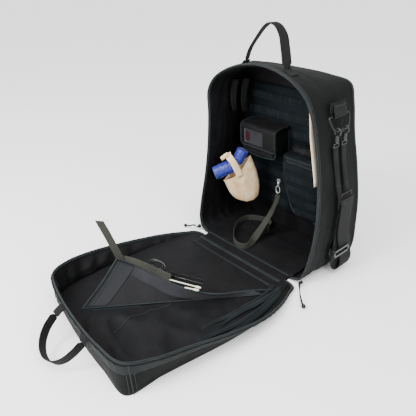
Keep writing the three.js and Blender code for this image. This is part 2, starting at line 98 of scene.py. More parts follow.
CASE_RIM = [
    corner(-1, LEFT_CORNER_X, 0), corner(-1, LEFT_CORNER_X, 45), corner(-1, LEFT_CORNER_X, 90),
    (-197, 115), (-186, 200), (-180, 305), (-184, 400), (-191, 468), (-166, 512), (-92, 553),
    (0, 569), (94, 552), (160, 512), (188, 468), (212, 400), (236, 305), (249, 200), (247, 115),
    corner(1, RIGHT_CORNER_X, 90), corner(1, RIGHT_CORNER_X, 45), corner(1, RIGHT_CORNER_X, 0),
]
CASE_BACK = [
    (-180, 0), (-214, 14), (-227, 50), (-229, 115), (-227, 200), (-219, 305), (-208, 400), (-199, 480),
    (-184, 526), (-120, 538), (0, 541), (116, 538), (180, 526), (194, 480), (205, 400), (224, 305),
    (239, 200), (241, 115), (239, 50), (227, 14), (195, 0),
]
LID_RIM = [
    corner(-1, LEFT_CORNER_X, 0), corner(-1, LEFT_CORNER_X, 45), (-202, 50), (-222, 115), (-234, 190),
    (-242, 290), (-240, 390), (-225, 460), (-190, 516), (-120, 543), (10, 566), (130, 573), (206, 562),
    (236, 500), (253, 400), (272, 290), (276, 190), (262, 115), (238, 50),
    corner(1, RIGHT_CORNER_X, 45), corner(1, RIGHT_CORNER_X, 0),
]
LID_FLOOR = [
    (-150, 1.5), (-186, 12), (-200, 50), (-210, 115), (-217, 190), (-220, 290), (-216, 390), (-209, 468),
    (-188, 516), (-120, 532), (10, 552), (130, 561), (214, 562), (222, 480), (234, 390),
    (247, 290), (251, 190), (239, 115), (220, 50), (208, 12), (186, 1.5),
]


# ---- numbers and curves -------------------------------------------------------------------------
def mix(a, b, t):
    return a + (b - a) * t


def smooth(t, low=0.0, high=1.0):
    t = min(max((t - low) / (high - low), 0.0), 1.0)
    return t * t * (3 - 2 * t)


def arch(t):
    """0 at both ends of 0 to 1 and 1 in the middle."""
    return max(math.sin(math.pi * t), 0.0)


def unit(v):
    return v / max(float(np.linalg.norm(v)), 1e-12)


class Curve:
    """A centripetal Catmull-Rom curve through points; called with the share of its steps, 0 to 1."""

    def __init__(self, points):
        self.p = [np.array(p, float) for p in points]
        first, last = 2 * self.p[0] - self.p[1], 2 * self.p[-1] - self.p[-2]
        self.q = [first, *self.p, last]

    def __call__(self, t):
        spans = len(self.p) - 1
        at = min(max(t, 0.0), 1.0) * spans
        i = min(int(at), spans - 1)
        w = at - i
        p0, p1, p2, p3 = self.q[i:i + 4]
        pairs = ((p0, p1), (p1, p2), (p2, p3))
        d0, d1, d2 = (max(float(np.linalg.norm(b - a)) ** 0.5, 1e-4) for a, b in pairs)
        t1 = ((p1 - p0) / d0 - (p2 - p0) / (d0 + d1) + (p2 - p1) / d1) * d1
        t2 = ((p2 - p1) / d1 - (p3 - p1) / (d1 + d2) + (p3 - p2) / d2) * d1
        c2, c3 = -3 * p1 + 3 * p2 - 2 * t1 - t2, 2 * p1 - 2 * p2 + t1 + t2
        return p1 + t1 * w + c2 * w * w + c3 * w ** 3

    def tangent(self, t):
        step = 1e-3
        return unit(self(min(t + step, 1)) - self(max(t - step, 0)))


case_rim, case_back = Curve(CASE_RIM), Curve(CASE_BACK)
lid_rim, lid_floor = Curve(LID_RIM), Curve(LID_FLOOR)


def curve_through(points):
    return points if callable(points) else Curve(points)


def walk(points, steps):
    """The share along, the point and the direction at even steps along a curve."""
    curve = curve_through(points)
    for i in range(steps + 1):
        t = i / steps
        yield t, curve(t), unit(curve(min(t + 0.5 / steps, 1)) - curve(max(t - 0.5 / steps, 0)))


def run_lengths(points):
    """The length along a row of points, up to each of them."""
    return np.concatenate([[0], np.cumsum(np.linalg.norm(np.diff(points, axis=0), axis=1))])


def around(count):
    return [2 * math.pi * k / count for k in range(count)]


def grid(rows, columns, point):
    """Rows of points: point(u, v), with u from 0 to 1 down the rows and v from 0 to 1 along each."""
    return [[point(i / rows, j / columns) for j in range(columns + 1)] for i in range(rows + 1)]


def rim_y(z):
    return RIM_SETBACK + RIM_LEAN * z


def back_y(z):
    return DEPTH - BACK_LEAN * z


def lid_rim_z(reach):
    return LID_RIM_FOOT + LID_RISE * reach


def ripple(p, size, seed=0.0):
    """Smooth noise, about -1 to 1, with bumps of that size along x, y and z."""
    return 1.6 * noise.noise(Vector([p[i] / size[i] + seed * (1 + 0.37 * i) for i in range(3)]))


def crease(p, size, seed=0.0):
    """Ridged noise, 0 to 1, with sharp folds."""
    return max(1 - abs(ripple(p, size, seed)), 0) ** 2.2


# ---- places -------------------------------------------------------------------------------------
def bag_place(p):
    return (p[0] * MM, (p[1] + HINGE_Y) * MM, p[2] * MM)


BACK_TILT = math.atan(BACK_LEAN)
SIDES = ((-1, "left"), (1, "right"))


def in_back(p):
    """From the back panel's frame, y out through the panel and z up it, to design coordinates."""
    c, s = math.cos(BACK_TILT), math.sin(BACK_TILT)
    return np.array([p[0], DEPTH + p[1] * c - p[2] * s, p[1] * s + p[2] * c])


UP_THE_BACK = in_back((0, 0, 1)) - in_back((0, 0, 0))


def turned(origin, x_axis, z_axis):
    """A place function: local millimetres on these axes at that design point."""
    x, z = unit(np.array(x_axis, float)), unit(np.array(z_axis, float))
    y = np.cross(z, x)
    o = np.array(origin, float)
    return lambda p: o + p[0] * x + p[1] * y + p[2] * z


# ---- mesh building ------------------------------------------------------------------------------
LOOKS = {}


class Shape:
    """Gathers surfaces, in design millimetres, into one mesh with a flat coordinate in metres."""

    WEB_SECTION = ((-1, -0.35), (-0.93, -1), (-0.5, -1), (0, -1), (0.5, -1), (0.93, -1), (1, -0.35),
                   (1, 0.35), (0.93, 1), (0.5, 1), (0, 1), (-0.5, 1), (-0.93, 1), (-1, 0.35))

    def __init__(self):
        self.points, self.faces, self.flat = [], [], []

    def rings(self, rings):
        """A closed surface through rows of points: each row is a ring, and the end rings are filled."""
        r = np.array(rings, float)
        m, n = r.shape[:2]
        first = len(self.points)
        along = np.concatenate([[0], np.cumsum(np.linalg.norm(np.diff(r, axis=0), axis=2).mean(1))])
        across = np.concatenate([[0], np.cumsum(np.linalg.norm(np.diff(r, axis=1), axis=2).mean(0))])
        for i in range(m):
            for j in range(n):
                self.points.append(r[i, j])
                self.flat.append((along[i] * MM, across[j] * MM))
        for i in range(m - 1):
            for j in range(n):
                a, b = first + i * n + j, first + i * n + (j + 1) % n
                self.faces.append((a, b, b + n, a + n))
        self.faces.append(tuple(range(first, first + n)))
        self.faces.append(tuple(range(first + (m - 1) * n, first + m * n))[::-1])
        return self

    def slab(self, rows, thickness):
        """A sheet with thickness: rows are its outer face, and the other face lies that far inside."""
        r = np.array(rows, float)
        n = np.cross(np.gradient(r, axis=0), np.gradient(r, axis=1))
        n /= np.maximum(np.linalg.norm(n, axis=2, keepdims=True), 1e-9)
        inner = r - n * thickness
        return self.rings(np.concatenate([r, inner[:, ::-1]], axis=1))

    def tube(self, points, radius, steps, sides=8, squashed=1.0):
        """A round tube along a curve; radius may be a function of the share along."""
        side, rings = None, []
        for t, at, forward in walk(points, steps):
            if side is None:
                side = np.cross(forward, (0, 0, 1) if abs(forward[2]) < 0.9 else (0, 1, 0))
            side = unit(side - forward * side.dot(forward))
            up = np.cross(forward, side)
            r = radius(t) if callable(radius) else radius
            rings.append([at + side * r * math.cos(a) + up * r * squashed * math.sin(a)
                          for a in around(sides)])
        return self.rings(rings)

    def ribbon(self, points, width, across, thick=2.2, steps=None, puff=0.0):
        """A webbing strap with soft edges; across is the direction of its width, or a function."""
        rings = []
        for t, at, forward in walk(points, steps or 6 * (len(points) - 1)):
            wide = unit(np.array(across(t, forward) if callable(across) else across, float))
            thin = unit(np.cross(forward, wide))
            w = (width(t) if callable(width) else width) / 2
            h = thick / 2
            section = []
            for x, y in self.WEB_SECTION:
                swell = puff * (1 - x * x) * (1 if y > 0 else -1)
                section.append(at + wide * w * x + thin * (h * y + swell))
            rings.append(section)
        return self.rings(rings)

    def box(self, centre, size, place, bevel):
        """A box with chamfered edges on every side."""
        h = [s / 2 for s in size]
        b = min(bevel, *(0.45 * x for x in h))
        rings = []
        for pulled_in, z in ((b, -h[2]), (0, -h[2] + b), (0, h[2] - b), (b, h[2])):
            x, y = h[0] - pulled_in, h[1] - pulled_in
            c = 0.3 * b if pulled_in else b
            outline = [(-x + c, -y), (x - c, -y), (x, -y + c), (x, y - c),
                       (x - c, y), (-x + c, y), (-x, y - c), (-x, -y + c)]
            rings.append([place((centre[0] + px, centre[1] + py, centre[2] + z)) for px, py in outline])
        return self.rings(rings)

    def lathe(self, profile, place, sides=16):
        """A turned shape about local z: profile holds (radius, height)."""
        return self.rings([[place((r * math.cos(a), r * math.sin(a), z)) for a in around(sides)]
                           for r, z in profile])

    def make(self, name, body, look, covers=(), sharp=None, ride=True):
        """Turns the gathered surfaces into a dressed piece; edges past sharp degrees stay sharp."""
        mesh = bpy.data.meshes.new(name)
        mesh.from_pydata([bag_place(p) for p in self.points], [], self.faces)
        layer = mesh.uv_layers.new(name="weave")
        flat = np.array(self.flat)
        index = np.zeros(len(mesh.loops), np.int32)
        mesh.loops.foreach_get("vertex_index", index)
        layer.data.foreach_set("uv", flat[index].astype(np.float32).ravel())
        edit(mesh, lambda b: bmesh.ops.recalc_face_normals(b, faces=b.faces))
        shade_smooth(mesh)
        if sharp:
            mesh.set_sharp_from_angle(angle=math.radians(sharp))
        return dress(bpy.data.objects.new(name, mesh), body, look, covers, ride)


def edit(mesh, change):
    b = bmesh.new()
    b.from_mesh(mesh)
    change(b)
    b.to_mesh(mesh)
    b.free()


def shade_smooth(mesh):
    mesh.polygons.foreach_set("use_smooth", np.ones(len(mesh.polygons), bool))


def link(o):
    bpy.context.scene.collection.objects.link(o)
    return o


def dress(piece, body, look, covers=(), ride=True):
    """Gives a new piece its material, links it, and lets it ride and stand for its CAD nodes."""
    material, slot = LOOKS[look]
    piece.data.materials.clear()
    piece.data.materials.append(material)
    if not piece.users_collection:
        link(piece)
    if ride:
        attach(piece, body)
    if covers:
        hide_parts(*covers)
    return piece


class Stitches:
    """Rows of small thread stitches, gathered into one piece for each body."""

    LONG, PITCH, THICK = 3.0, 4.6, 0.45
    FINE = 120  # steps that a row's length is measured in

    def __init__(self):
        self.shapes = {}

    def row(self, body, points, outward, lift=0.3):
        """Stitches along points; outward is the way the surface faces, or a function of the share along."""
        shape = self.shapes.setdefault(body, Shape())
        curve = curve_through(points)
        shares = np.linspace(0, 1, self.FINE + 1)
        lengths = run_lengths([curve(i / self.FINE) for i in range(self.FINE + 1)])
        count = max(int(lengths[-1] / self.PITCH), 1)
        for k in range(count):
            t = float(np.interp((k + 0.5) * lengths[-1] / count, lengths, shares))
            z = np.array(outward(t) if callable(outward) else outward, float)
            x = unit(curve(min(t + 0.004, 1)) - curve(max(t - 0.004, 0)))
            z = unit(z - x * z.dot(x))
            place = turned(curve(t) + z * lift, x, z)
            shape.box((0, 0, 0), (self.LONG, 2 * self.THICK, self.THICK), place, 0.2)

    def make(self):
        for body, shape in self.shapes.items():
            shape.make("stitching_" + body, body, "thread")


stitches = Stitches()
CLOTH_FRAMES = 20


def plump(name, node, body, look, voxel, pressure, cap, shrink):
    """A padded piece: the CAD solid, shrunk and remeshed, then swollen by cloth simulation.

    No point moves further than cap; voxel, cap and shrink are in millimetres.
    """
    mesh = frame["nodes"][node].data.copy()
    edit(mesh, lambda b: bmesh.ops.remove_doubles(b, verts=b.verts, dist=1e-5))
    piece = link(bpy.data.objects.new(name, mesh))
    remesh = piece.modifiers.new("remesh", "REMESH")
    remesh.mode = "VOXEL"
    remesh.voxel_size = voxel * MM
    settle(piece)
    shade_smooth(piece.data)
    start = coordinates(piece.data) - normals_of(piece.data) * shrink * MM
    set_coordinates(piece.data, start)
    cloth = piece.modifiers.new("cloth", "CLOTH")
    cloth.settings.quality = 5
    cloth.settings.use_pressure = True
    cloth.settings.uniform_pressure_force = pressure
    cloth.settings.effector_weights.gravity = 0
    cloth.point_cache.frame_start, cloth.point_cache.frame_end = 1, CLOTH_FRAMES
    for f in range(1, CLOTH_FRAMES + 1):
        bpy.context.scene.frame_set(f)
    move = coordinates(evaluated(piece).data) - start
    piece.modifiers.remove(cloth)
    bpy.context.scene.frame_set(1)
    far = np.linalg.norm(move, axis=1, keepdims=True)
    set_coordinates(piece.data, start + move * np.minimum(1, cap * MM / np.maximum(far, 1e-9)))
    calm = piece.modifiers.new("calm", "SMOOTH")
    calm.factor, calm.iterations = 0.5, 3
    finer = piece.modifiers.new("finer", "SUBSURF")
    finer.levels = finer.render_levels = 1
    settle(piece)
    shade_smooth(piece.data)
    dress(piece, body, look, (node,))
    return piece


def coordinates(mesh):
    co = np.zeros(len(mesh.vertices) * 3)
    mesh.vertices.foreach_get("co", co)
    return co.reshape(-1, 3)


def set_coordinates(mesh, co):
    mesh.vertices.foreach_set("co", co.astype(np.float32).ravel())
    mesh.update()


def normals_of(mesh):
    return np.array([v.normal for v in mesh.vertices], float)


def evaluated(piece):
    return piece.evaluated_get(bpy.context.evaluated_depsgraph_get())


def settle(piece):
    """Applies every modifier of a piece."""
    bpy.context.view_layer.update()
    mesh = bpy.data.meshes.new_from_object(evaluated(piece))
    piece.modifiers.clear()
    piece.data = mesh


def surface_of(piece):
    """Finds where a design point, moved along a direction, meets a piece; None where it misses."""
    m = piece.data
    tree = BVHTree.FromPolygons([v.co[:] for v in m.vertices], [tuple(p.vertices) for p in m.polygons])

    def hit(point, direction):
        place = tree.ray_cast(Vector(bag_place(point)), Vector(direction).normalized())[0]
        return None if place is None else np.array([place.x / MM, place.y / MM - HINGE_Y, place.z / MM])
    return hit


# ---- materials ----------------------------------------------------------------------------------
def rgba(colour):
    """A colour for a socket: a node's output as it is, three numbers with alpha 1."""
    return colour if isinstance(colour, bpy.types.NodeSocket) else (*colour, 1)


class Nodes:
    """A short way to build a material's nodes."""

    def __init__(self, name):
        self.material = bpy.data.materials.new(name)
        self.material.use_nodes = True
        self.tree = self.material.node_tree
        self.shader = self.tree.nodes["Principled BSDF"]
        self.object = self.add("ShaderNodeTexCoord").outputs["Object"]

    def add(self, kind, inputs=(), **settings):
        node = self.tree.nodes.new(kind)
        for key, value in settings.items():
            setattr(node, key, value)
        for key, value in dict(inputs).items():
            self.put(node.inputs[key], value)
        return node

    def put(self, socket, value):
        """Links a node's output to a socket, or sets the socket to a number."""
        if isinstance(value, bpy.types.NodeSocket):
            self.tree.links.new(value, socket)
        else:
            socket.default_value = value

    def noise(self, scale, detail, distortion=0.0):
        inputs = {"Vector": self.object, "Scale": scale, "Detail": detail, "Distortion": distortion}
        return self.add("ShaderNodeTexNoise", inputs).outputs["Fac"]

    def math(self, operation, a, b=0.0, c=0.0):
        return self.add("ShaderNodeMath", {0: a, 1: b, 2: c}, operation=operation).outputs[0]

    def ramp(self, value, *stops):
        node = self.add("ShaderNodeValToRGB", {"Fac": value})
        elements = node.color_ramp.elements
        for _ in range(len(stops) - 2):
            elements.new(0.5)
        for element, (at, colour) in zip(elements, stops):
            element.position = at
            element.color = (*colour, 1) if isinstance(colour, tuple) else (colour, colour, colour, 1)
        return node.outputs["Color"]

    def blend(self, kind, factor, a, b):
        node = self.add("ShaderNodeMix", data_type="RGBA", blend_type=kind)
        for key, value in ((0, factor), (6, rgba(a)), (7, rgba(b))):
            self.put(node.inputs[key], value)
        return node.outputs[2]

    def bump(self, height, strength, distance, under=None):
        inputs = {"Height": height, "Strength": strength, "Distance": distance * MM}
        if under is not None:
            inputs["Normal"] = under
        return self.add("ShaderNodeBump", inputs).outputs["Normal"]

    def finish(self, colour, normal, roughness, sheen=0.0, metallic=0.0, specular=0.5):
        s = self.shader
        self.put(s.inputs["Base Color"], rgba(colour))
        if normal is not None:
            self.put(s.inputs["Normal"], normal)
        self.put(s.inputs["Roughness"], roughness)
        s.inputs["Metallic"].default_value = metallic
        s.inputs["Specular IOR Level"].default_value = specular
        if sheen:
            s.inputs["Sheen Weight"].default_value = sheen
            s.inputs["Sheen Roughness"].default_value = 0.45
        return self.material


def woven(name, base, pale, pitch=1.3, rough=0.75, sheen=0.01, bump=0.35, specular=0.08, folds=0.25):
    """Nylon: a close pebbled weave, a mottled coat and soft creases too small for the mesh."""
    n = Nodes(name)
    yarn = n.add("ShaderNodeTexVoronoi", {"Vector": n.object, "Scale": 1000 / pitch, "Randomness": 0.3})
    cloud = n.noise(9, 5, distortion=0.4)
    fleck = n.noise(420, 2)
    colour = n.ramp(cloud, (0.25, base), (0.8, pale))
    colour = n.blend("MULTIPLY", 0.6, colour, n.ramp(fleck, (0.3, 0.55), (0.7, 1.25)))
    # Painted shade: the colour darkens towards each yarn cell's edge, in the grooves that the same distance
    # bumps down.
    colour = n.blend("MULTIPLY", 0.5, colour, n.ramp(yarn.outputs["Distance"], (0.0, 1.2), (0.75, 0.45)))
    soft = n.bump(n.noise(26, 4, distortion=0.8), folds, 5)
    normal = n.bump(yarn.outputs["Distance"], bump, -0.35, soft)
    roughness = n.ramp(cloud, (0.2, rough - 0.08), (0.8, min(rough + 0.08, 1)))
    return n.finish(colour, normal, roughness, sheen, specular=specular)


def ribbed(name, base, pale, pitch, rough=0.75, cross=5.0):
    """Webbing or tape: ribs across its length in a herringbone, worn paler in patches."""
    n = Nodes(name)
    flat = n.add("ShaderNodeUVMap", uv_map="weave").outputs["UV"]
    split = n.add("ShaderNodeSeparateXYZ", {"Vector": flat})
    along, across = split.outputs["X"], split.outputs["Y"]
    zigzag = n.math("PINGPONG", across, cross * MM)
    ribs = n.math("SINE", n.math("MULTIPLY", n.math("ADD", along, zigzag), 2 * math.pi / (pitch * MM)))
    cords = n.math("SINE", n.math("MULTIPLY", across, 2 * math.pi / (1.15 * pitch * MM)))
    height = n.math("ADD", ribs, n.math("MULTIPLY", cords, 0.5))
    cloud = n.noise(14, 4)
    colour = n.ramp(cloud, (0.3, base), (0.75, pale))
    # Painted shade and highlight: the colour is darker in the rib grooves and paler on the rib tops,
    # following the same height as the bump.
    painted_relief_shade = n.ramp(n.math("MULTIPLY_ADD", height, 0.3, 0.5), (0.0, 0.5), (1.0, 1.25))
    colour = n.blend("MULTIPLY", 0.7, colour, painted_relief_shade)
    return n.finish(colour, n.bump(height, 0.6, 0.22), rough, 0.015, specular=0.09)


def moulded(name, base, rough=0.42):
    """Moulded plastic with a fine grain and rubbed patches, paler and rougher."""
    n = Nodes(name)
    grain = n.noise(1500, 3)
    worn = n.noise(60, 6)
    rubbed = tuple(min(1, 2.2 * c + 0.01) for c in base)
    colour = n.blend("MIX", n.ramp(worn, (0.55, 0.0), (0.75, 0.25)), base, rubbed)
    return n.finish(colour, n.bump(grain, 0.25, 0.12), n.ramp(worn, (0.3, rough - 0.08), (0.7, rough + 0.15)))


def metal(name, base, rough):
    """Metal with duller, darker patches where it has been handled."""
    n = Nodes(name)
    worn = n.noise(120, 6)
    colour = n.blend("MIX", n.ramp(worn, (0.45, 0.0), (0.7, 0.55)), base, tuple(0.6 * c for c in base))
    roughness = n.ramp(worn, (0.3, rough), (0.75, rough + 0.25))
    return n.finish(colour, n.bump(n.noise(900, 3), 0.2, 0.06), roughness, metallic=0.95)


def film(name, base, deep):
    """Wrapping film drawn tight: crumpled, with painted highlight on the folds and painted shade in the
    hollows.
    """
    n = Nodes(name)
    crumple = n.noise(55, 8, distortion=1.4)
    # Painted light and shade: the colour runs from the deep colour in the crumple's hollows to the base
    # colour on its raised folds, following the same noise as the bump.
    colour = n.ramp(crumple, (0.3, deep), (0.7, base))
    normal = n.bump(n.noise(240, 4), 0.2, 0.4, n.bump(crumple, 0.6, 3))
    return n.finish(colour, normal, n.ramp(crumple, (0.3, 0.5), (0.7, 0.34)), 0.1)


def cotton(name, base, painted_relief_shade, fold=0.4):
    """Undyed cloth: a coarse open weave with soft folds, with painted shade in the folds and between the
    yarns.
    """
    n = Nodes(name)
    cloud = n.noise(30, 6, distortion=0.6)
    yarn = n.add("ShaderNodeTexVoronoi", {"Vector": n.object, "Scale": 900, "Randomness": 0.5})
    # Painted shade: the colour falls to the second, darker colour where the same noise bumps the folds down,
    # and darkens between the yarns.
    colour = n.ramp(cloud, (0.28, painted_relief_shade), (0.62, base))
    colour = n.blend("MULTIPLY", 0.35, colour, n.ramp(yarn.outputs["Distance"], (0.0, 1.1), (0.8, 0.7)))
    normal = n.bump(yarn.outputs["Distance"], 0.3, -0.3, n.bump(cloud, fold, 4))
    return n.finish(colour, normal, 0.85, 0.2, specular=0.25)


def looped(name, base, pale):
    """Hook-and-loop field: a dense fuzzy pile."""
    n = Nodes(name)
    pile = n.noise(850, 4, distortion=1.5)
    cloud = n.noise(22, 4)
    # Painted light and shade: the pile colour is paler where the same noise bumps the pile up, and darker
    # where it dips.
    tuft = n.ramp(pile, (0.3, 0.4), (0.7, 1.4))
    colour = n.blend("MULTIPLY", 0.8, n.ramp(cloud, (0.3, base), (0.7, pale)), tuft)
    return n.finish(colour, n.bump(pile, 0.8, 0.6), 0.95, 0.1, specular=0.15)


def spacer_mesh(name, base, pale):
    """Air mesh over foam: rows of small open cells."""
    n = Nodes(name)
    cells = n.add("ShaderNodeTexVoronoi", {"Vector": n.object, "Scale": 330, "Randomness": 0.15})
    # Painted shade: the colour darkens in each open cell, where the same distance bumps the surface down.
    holes = n.ramp(cells.outputs["Distance"], (0.12, 0.35), (0.4, 1.2))
    colour = n.blend("MULTIPLY", 0.9, n.ramp(n.noise(12, 4), (0.3, base), (0.7, pale)), holes)
    return n.finish(colour, n.bump(cells.outputs["Distance"], 0.8, 0.9), 0.9, 0.06, specular=0.2)


def make_looks():
    shell = woven("shell_nylon", (0.0042, 0.0047, 0.0046), (0.0088, 0.0096, 0.0092), 1.4, 0.78, folds=0.6)
    lining = woven("lining_nylon", (0.0038, 0.0040, 0.0045), (0.0078, 0.0078, 0.0088),
                   1.0, 0.62, 0.01, 0.2, 0.12, 0.45)
    molle = woven("molle_nylon", (0.0035, 0.0055, 0.007), (0.007, 0.0105, 0.013), 1.2, 0.7)
    tape = ribbed("zip_tape_weave", (0.010, 0.0135, 0.015), (0.019, 0.024, 0.026), 1.2)
    black_webbing = ribbed("black_webbing_weave", (0.006, 0.0063, 0.0065), (0.013, 0.0135, 0.0135), 1.8)
    molle_webbing = ribbed("molle_webbing_weave", (0.004, 0.006, 0.0075), (0.009, 0.0125, 0.0145), 1.7)
    olive = ribbed("olive_webbing_weave", (0.028, 0.028, 0.024), (0.048, 0.048, 0.041), 1.7)
    binding = ribbed("binding_weave", (0.016, 0.020, 0.022), (0.030, 0.036, 0.039), 1.1)
    # Painted light: a paler copy of the lining, standing in for the light on the organiser gusset's upward
    # face.
    flap = woven("lining_nylon_painted_lit", (0.01, 0.0105, 0.012), (0.018, 0.0185, 0.021),
                 1.1, 0.66, 0.02, 0.25, 0.12, 0.2)
    LOOKS.update({
        "shell": (shell, "shell_fabric"),
        "lining": (lining, "lining_fabric"),
        "flap": (flap, "lining_fabric"),
        "molle": (molle, "molle_fabric"),
        "molle_webbing": (molle_webbing, "molle_fabric"),
        "loop": (looped("loop_pile", (0.015, 0.0155, 0.018), (0.025, 0.025, 0.028)), "molle_fabric"),
        "tape": (tape, "zip_tape"),
        "binding": (binding, "zip_tape"),
        "band": (ribbed("rim_band_weave", (0.010, 0.012, 0.012), (0.019, 0.022, 0.0215), 1.3), "zip_tape"),
        "coil": (moulded("zip_coil_nylon", (0.006, 0.0065, 0.007), 0.38), "zip_tape"),
        "webbing": (black_webbing, "black_webbing"),
        "olive": (olive, "olive_webbing"),
        "foam": (spacer_mesh("air_mesh", (0.006, 0.0065, 0.007), (0.013, 0.014, 0.015)), "foam_fabric"),
        "plastic": (moulded("black_acetal", (0.005, 0.0053, 0.0055)), "black_plastic"),
        # Partly painted reflection: the lower roughness is real gloss, but the doubled base colour stands in
        # for the reflections on the triglide.
        "glossy": (moulded("glossy_acetal_painted_pale", (0.010, 0.0105, 0.011), 0.22), "black_plastic"),
        "dark_metal": (metal("blackened_steel", (0.035, 0.035, 0.035), 0.3), "dark_metal"),
        "pale_metal": (metal("nickel_plate", (0.62, 0.63, 0.61), 0.25), "pale_metal"),
        # Blue film: the second, deeper colour is the painted shade in the crumple hollows.
        "blue": (film("blue_wrap", (0.014, 0.027, 0.30), (0.005, 0.010, 0.13)), "blue_film"),
        # Cotton looks: the second colour is the painted shade in the folds.
        "beige": (cotton("unbleached_cotton", (0.80, 0.62, 0.38), (0.60, 0.38, 0.19)), "beige_cloth"),
        "card": (cotton("padded_card", (0.80, 0.67, 0.50), (0.66, 0.50, 0.33), 0.2), "tan_sheet"),
        "white": (moulded("white_stick", (0.66, 0.64, 0.52), 0.45), "white_plastic"),
        "cord": (ribbed("braided_cord", (0.008, 0.009, 0.0065), (0.017, 0.0185, 0.014), 1.0, 0.8, 1.5),
                 "zip_cord"),
        "thread": (moulded("nylon_thread", (0.015, 0.016, 0.016), 0.5), "black_webbing"),
        "mark": (woven("dark_red_mark", (0.030, 0.006, 0.008), (0.055, 0.010, 0.012), 0.9, 0.7),
                 "molle_fabric"),
    })


# ---- camera, light and floor --------------------------------------------------------------------
def make_stage():
    data = bpy.data.cameras.new("camera")
    data.lens, data.sensor_width = 40.78, 36
    data.clip_end = 50
    camera = bpy.data.objects.new("camera", data)
    camera.location = (0.838, -1.0223, 0.8119)
    camera.rotation_euler = (math.radians(62.09), 0, math.radians(47.39))
    bpy.context.scene.camera = link(camera)

    n = Nodes("white_floor")
    n.finish((0.9, 0.9, 0.9), None, 0.9, specular=0.1)
    mesh = bpy.data.meshes.new("floor")
    edit(mesh, lambda b: bmesh.ops.create_grid(b, x_segments=1, y_segments=1, size=40))
    mesh.materials.append(n.material)
    floor = link(bpy.data.objects.new("floor", mesh))
    floor.location.z = -0.0006

    world = bpy.data.worlds.new("studio")
    world.use_nodes = True
    background = world.node_tree.nodes["Background"]
    background.inputs["Color"].default_value = (1, 1, 1, 1)
    background.inputs["Strength"].default_value = 1.3
    bpy.context.scene.world = world

    def light(name, place, target, size, power):
        lamp = bpy.data.lights.new(name, "AREA")
        lamp.size, lamp.energy = size, power
        o = link(bpy.data.objects.new(name, lamp))
        o.location = place
        o.rotation_euler = (Vector(target) - Vector(place)).to_track_quat("-Z", "Y").to_euler()

    light("key", (-0.3, -2.1, 1.7), (0, -0.1, 0.2), 1.0, 95)
    light("side", (2.2, -0.7, 1.4), (0.1, 0, 0.3), 0.8, 28)
    sky = bpy.data.lights.new("overhead", "SUN")
    sky.energy, sky.angle = 3.0, math.radians(50)
    link(bpy.data.objects.new("overhead", sky)).rotation_euler = (math.radians(14), math.radians(12), 0)


# ---- free cords ---------------------------------------------------------------------------------
LOOSE_STRAP = [
    (4, 166, 152), (2, 160, 126), (-3, 148, 94), (-8, 126, 62), (-9, 100, 38), (-5, 72, 24), (2, 46, 19),
    (2, 26, 17.5), (-14, 15, 17.5), (-42, 22, 17.5), (-74, 50, 17.5), (-104, 88, 17.5), (-122, 130, 17.5),
    (-118, 168, 17.5), (-88, 192, 17.5), (-56, 200, 17.5), (-32, 188, 17.5), (-22, 162, 17.5),
]


def on_edge(t, forward):
    """The strap's width lies level as it falls and turns upright where it lies in its loop."""
    turn = smooth(t, 0.18, 0.42) * math.pi / 2
    level = unit(np.array([forward[1], -forward[0], 0.0])) * math.cos(turn)
    return level + np.array([0, 0, math.sin(turn)])


def declare_cord(piece, curve, steps, **facts):
    """Measures the curve that a cord runs along; nothing is declared or kept."""
    length = run_lengths([curve(i / 400) for i in range(401)])[-1] * MM
    bag_place(curve(0))
    [bag_place(curve(i / steps)) for i in range(steps + 1)]


def make_cords():
    curve, steps, width = Curve(LOOSE_STRAP), 140, 22
    strap = Shape().ribbon(curve, width, on_edge, 1.8, steps)
    strap = strap.make("loose_strap_webbing", "bag", "olive", ["loose_strap"])
    c, s = math.cos(1.2), math.sin(1.2)
    buckle = ladder_lock(Shape(), turned((-18, 141, 17.5), (c, s, 0), (-s, c, 0)), 28, 24, 5)
    buckle.make("loose_strap_adjuster", "bag", "plastic", ["loose_strap_buckle"], sharp=40)
    declare_cord(strap, curve, steps, diameter=width * MM, far_end="fitting",
                 with_pieces=["loose_strap_adjuster"])
    for side, name in SIDES[::-1]:
        make_zip_pull(side, name)


def slider_frame(side):
    """The slider's middle and the way out from its corner's centre, in design coordinates."""
    a = math.radians(48 if side > 0 else 52)
    out = np.array([side * math.sin(a), 0, -math.cos(a)])
    centre = np.array([RIGHT_CORNER_X if side > 0 else LEFT_CORNER_X, RIM_SETBACK - 1, CORNER])
    return centre + out * (CORNER + 6), out


